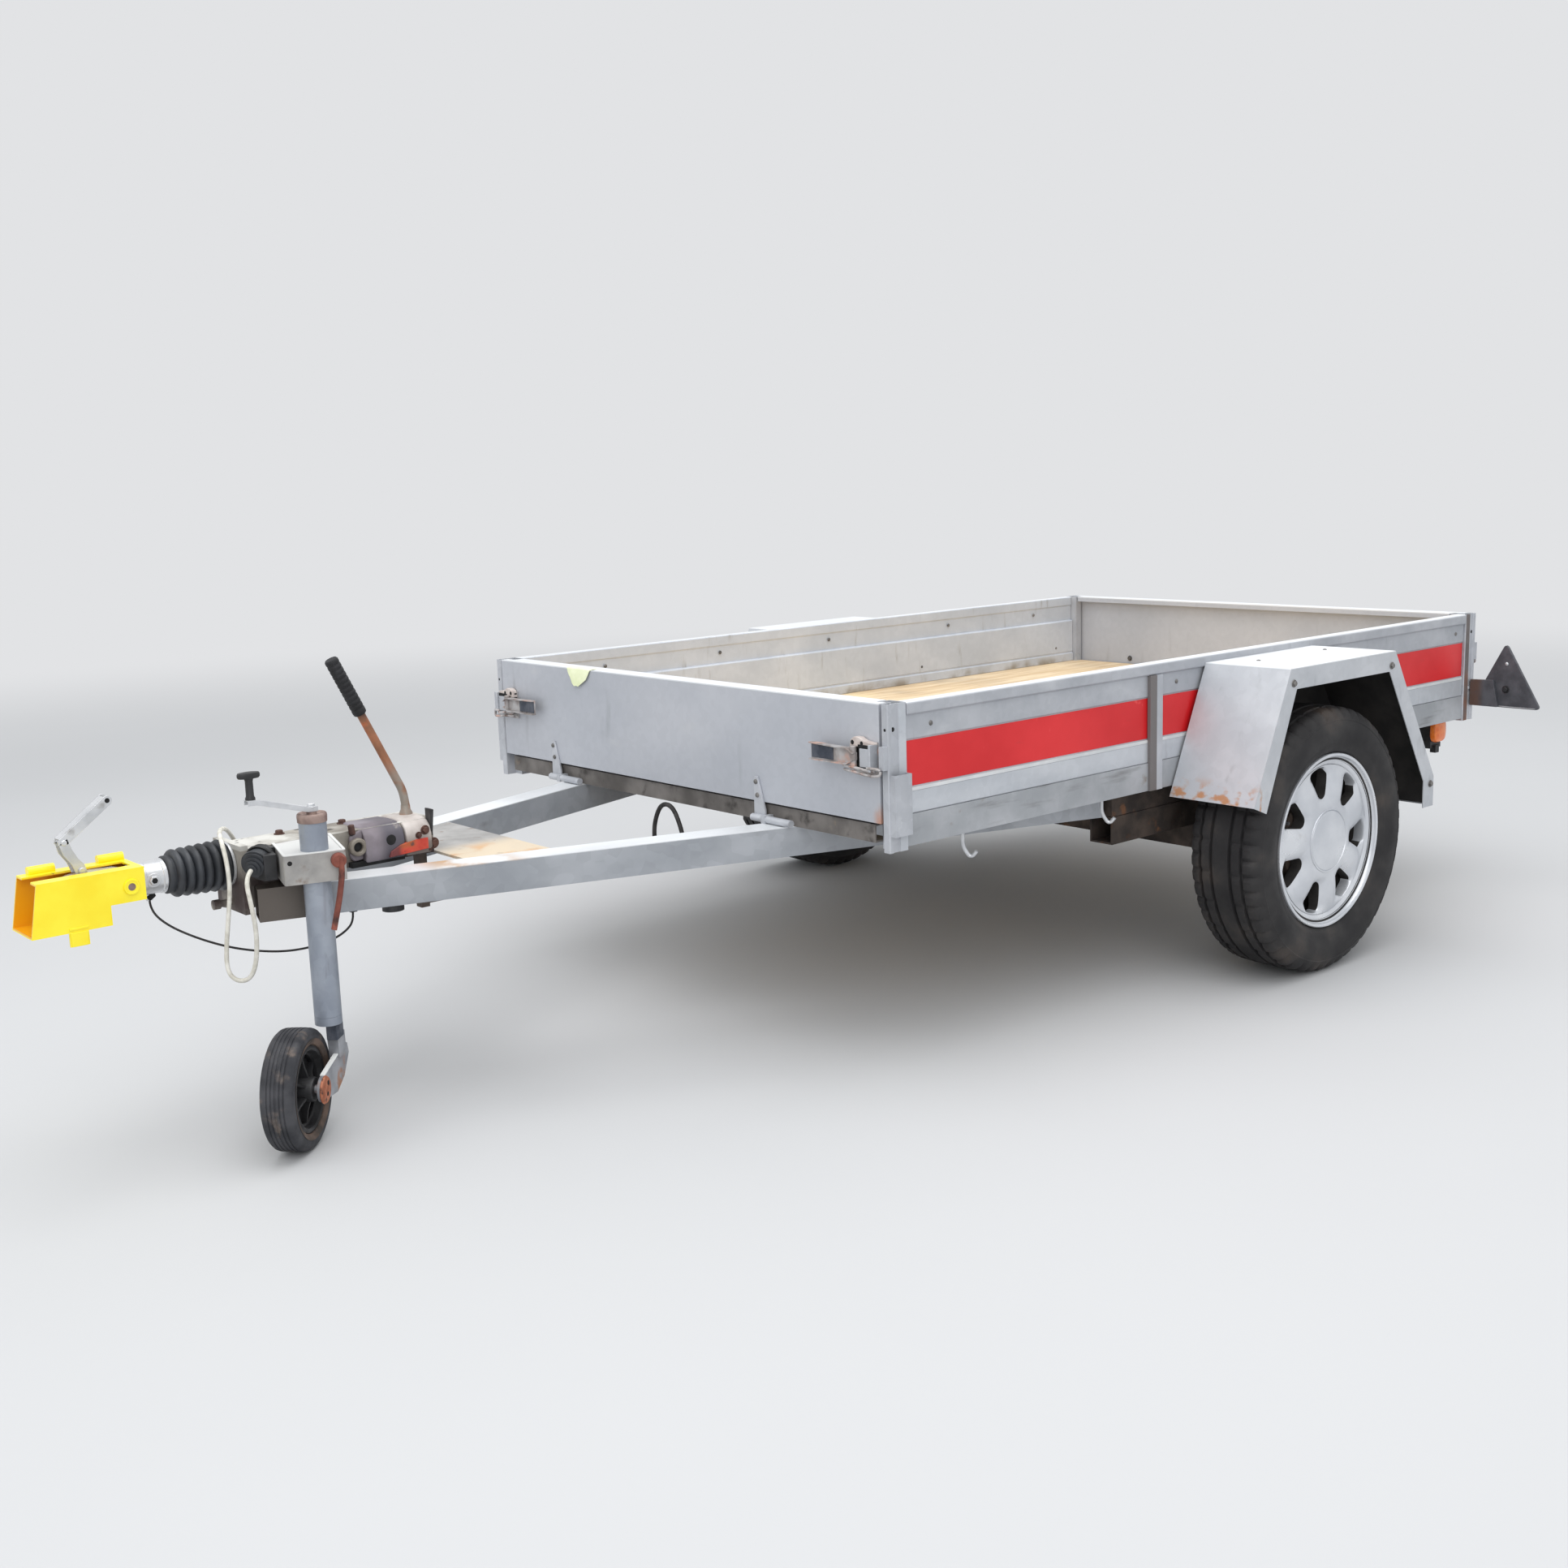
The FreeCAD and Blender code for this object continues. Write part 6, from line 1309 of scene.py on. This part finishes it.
def brake_body():
    """The lever's housing: a swelling cover, a pale block, a collar and a red sticker."""
    cover, pale, collar, dark = Maker(), Maker(), Maker(), Maker()
    profile = ((30, 455), (63, 455), (66.5, 468), (66.5, 492), (62, 506), (52, 516), (36, 521.5),
               (6, 522), (-30, 520), (-47, 515), (-47, 505), (30, 505))
    cover.prism(profile, "x", 1087, 1168)
    cover.prism(((1168, 462), (1168, 520), (1180, 515), (1194, 508), (1195, 470), (1188, 460)),
                "y", 48.2, 57)
    cover.piece("brake_cover", "trailer", "housing_paint", brake_paint, bevel=4,
                replaces=["handbrake_housing"])
    block = [(a + (1.5 if a > 40 else 0), b) for a, b in profile]
    pale.prism(block, "x", 1031, 1084.5)
    foot = Maker().lathe(((0.1, 514), (13, 514), (12.4, 525), (9.4, 531), (8.6, 540), (0.1, 540)),
                         (1047, 0, 0), Z_AXIS, 24)
    foot.piece("lever_foot", "trailer", "housing_paint", lever_metal)
    collar.lathe(((9, 0), (9, 8), (11, 10), (15, 10), (17, 8), (17, 0)), (1181, 55, 488), Y_AXIS,
                 36, wrap=True)
    pale.piece("brake_block", "trailer", "housing_paint", pale_cast, bevel=4)
    collar.piece("brake_collar", "trailer", "housing_paint", collar_paint, bevel=0.6)
    # near-black hole discs, as painted shade
    dark.lathe(((0.1, 0), (10, 0), (9, 1), (0.1, 1)), (1116, 66.3, 492), Y_AXIS, 28)
    dark.lathe(((0.1, 0), (8.8, 0), (8.8, 0.6), (0.1, 0.6)), (1181, 57, 488), Y_AXIS, 24)
    # a near-black strip for the shadow in the gap between arm and housing
    dark.box((1088, 1196), (48.2, 62), (450.4, 460))
    dark.piece("brake_holes", "trailer", "housing_paint", hole_and_gap_shade)
    sticker = ((1122, 459.5), (1119, 470), (1098, 480), (1066, 485), (1041, 485), (1041, 464))
    mark = Maker().prism(sticker, "y", 60, 69.5)
    mark.piece("brake_mark", "trailer", "housing_paint", warning_red, bevel=1)
    fixings = Maker()
    for x, z, out, size in ((1046, 500, 67.5, 11), (1060, 492, 67.5, 8), (1024, 470, 58, 13),
                            (1036, 462, 60, 8)):
        fixings.bolt((x, out, z), Y_AXIS, size, 5)
    for x, z in ((1165, 518), (1230, 518), (1290, 518)):
        fixings.bolt((x, -30, z), Z_AXIS, 12, 6)
    fixings.rod((1187, 54, 512), (1189, 54, 530), 6)
    fixings.piece("brake_bolts", "trailer", "rusty_steel", rust_dark)


def plug():
    """Ribbed plug in its holder, where the trailer cable ends."""
    tip = Vector((FRONT + 990, 109, 492))
    ribs = [(0.1, -52), (19, -52), (22, -49), (22, -25), (26, -24), (26, -20)]
    for number in range(4):
        start = -18 + number * 4.4
        swell = 24 - number * 5
        ribs += [(swell - 4, start), (swell, start + 1), (swell, start + 2.6),
                 (swell - 4.6, start + 3.4)]
    ribs += [(5, 0), (4.2, 0.5), (0.1, 0.5)]
    made = Maker().lathe(ribs, tip, PLUG_AXIS, 40)
    made.piece("plug_ribbed", "trailer", "black_rubber", black_rubber, replaces=["connector_plug"])
    holder = Maker()
    holder.lathe(((22.3, 0), (25.5, 0), (26, 2), (25.5, 6), (22.3, 6)), tip - PLUG_AXIS * 44,
                 PLUG_AXIS, 40, wrap=True)
    block = ((1352, 66), (1382, 66), (1392, 84), (1388, 118), (1366, 122))
    holder.prism(block, "z", 470, 516)
    holder.piece("plug_holder", "trailer", "black_plastic", black_plastic, bevel=3)


# Lamps and reflectors

def squared(value):
    """A cosine or sine that makes a rounded square in place of a circle."""
    return math.copysign(abs(value) ** 0.6, value)


def rear_lights():
    """Lamp lenses, the triangular reflectors with their plates, and the trim."""
    lens, amber, red, backs = Maker(), Maker(), Maker(), Maker()
    trim = Maker()
    corners = [(768, 474), (862, 474), (764, 643), (674, 474), (768, 474)]
    outline = [tuple(p) for p in rounded(corners, 16)][:-1]
    for side, sign in SIDES:
        for maker in (lens, amber, red, backs, trim):
            maker.side = sign
        red.box((-1674.5, -1671.5), (436, 560), (370, 444))
        amber.box((-1674.5, -1671.5), (564, 617), (370, 444))
        rings = []
        for share, out in ((0.92, 620.6), (1, 623), (1, 630), (0.92, 635), (0.7, 638), (0.3, 639)):
            rings.append([(-1644 + 31 * share * squared(math.cos(t)), out,
                           411 + 31 * share * squared(math.sin(t))) for t in around(32, 0.5)])
        amber.loops(rings)
        trim.box((-1670, -1618), (621, 633), (443, 447))
        trim.box((-1652, -1634), (612, 628), (352, 372))
        backs.prism(outline, "x", REAR, -1723)
        backs.prism(((675.3, 475), (752, 475), (738, 545), (675.3, 543)), "x", -1722.8, -1712)
        red.prism(inset(outline, 7), "x", REAR - 1, REAR)
        trim.bolt((-1723, 768, 522), X_AXIS, 12, 5)
        lens.dome((-1723, 768, 588), X_AXIS, 5, 3)
        lens.box((-1723.2, -1721.8), (690, 848), (476, 478))
    backs.piece("reflector_plates", "trailer", "reflector_plastic", reflector_back, bevel=1.5,
                replaces=["rear_reflectors"])
    red.piece("red_lenses", "trailer", "lamp_plastic", red_lens, bevel=0.8)
    amber.piece("amber_lenses", "trailer", "lamp_plastic", amber_lens, bevel=0.8)
    trim.piece("lamp_trim", "trailer", "black_plastic", black_plastic, bevel=0.8)
    lens.piece("reflector_bolts", "trailer", "zinc_steel", zinc_steel)


side_walls()
posts()
for end, ahead in ENDS:
    gate_fittings(end, ahead)
paper_tag()
guards()
for side, sign in SIDES:
    road_wheel(side, sign)
coupling()
jockey()
handbrake()
plug()
rear_lights()
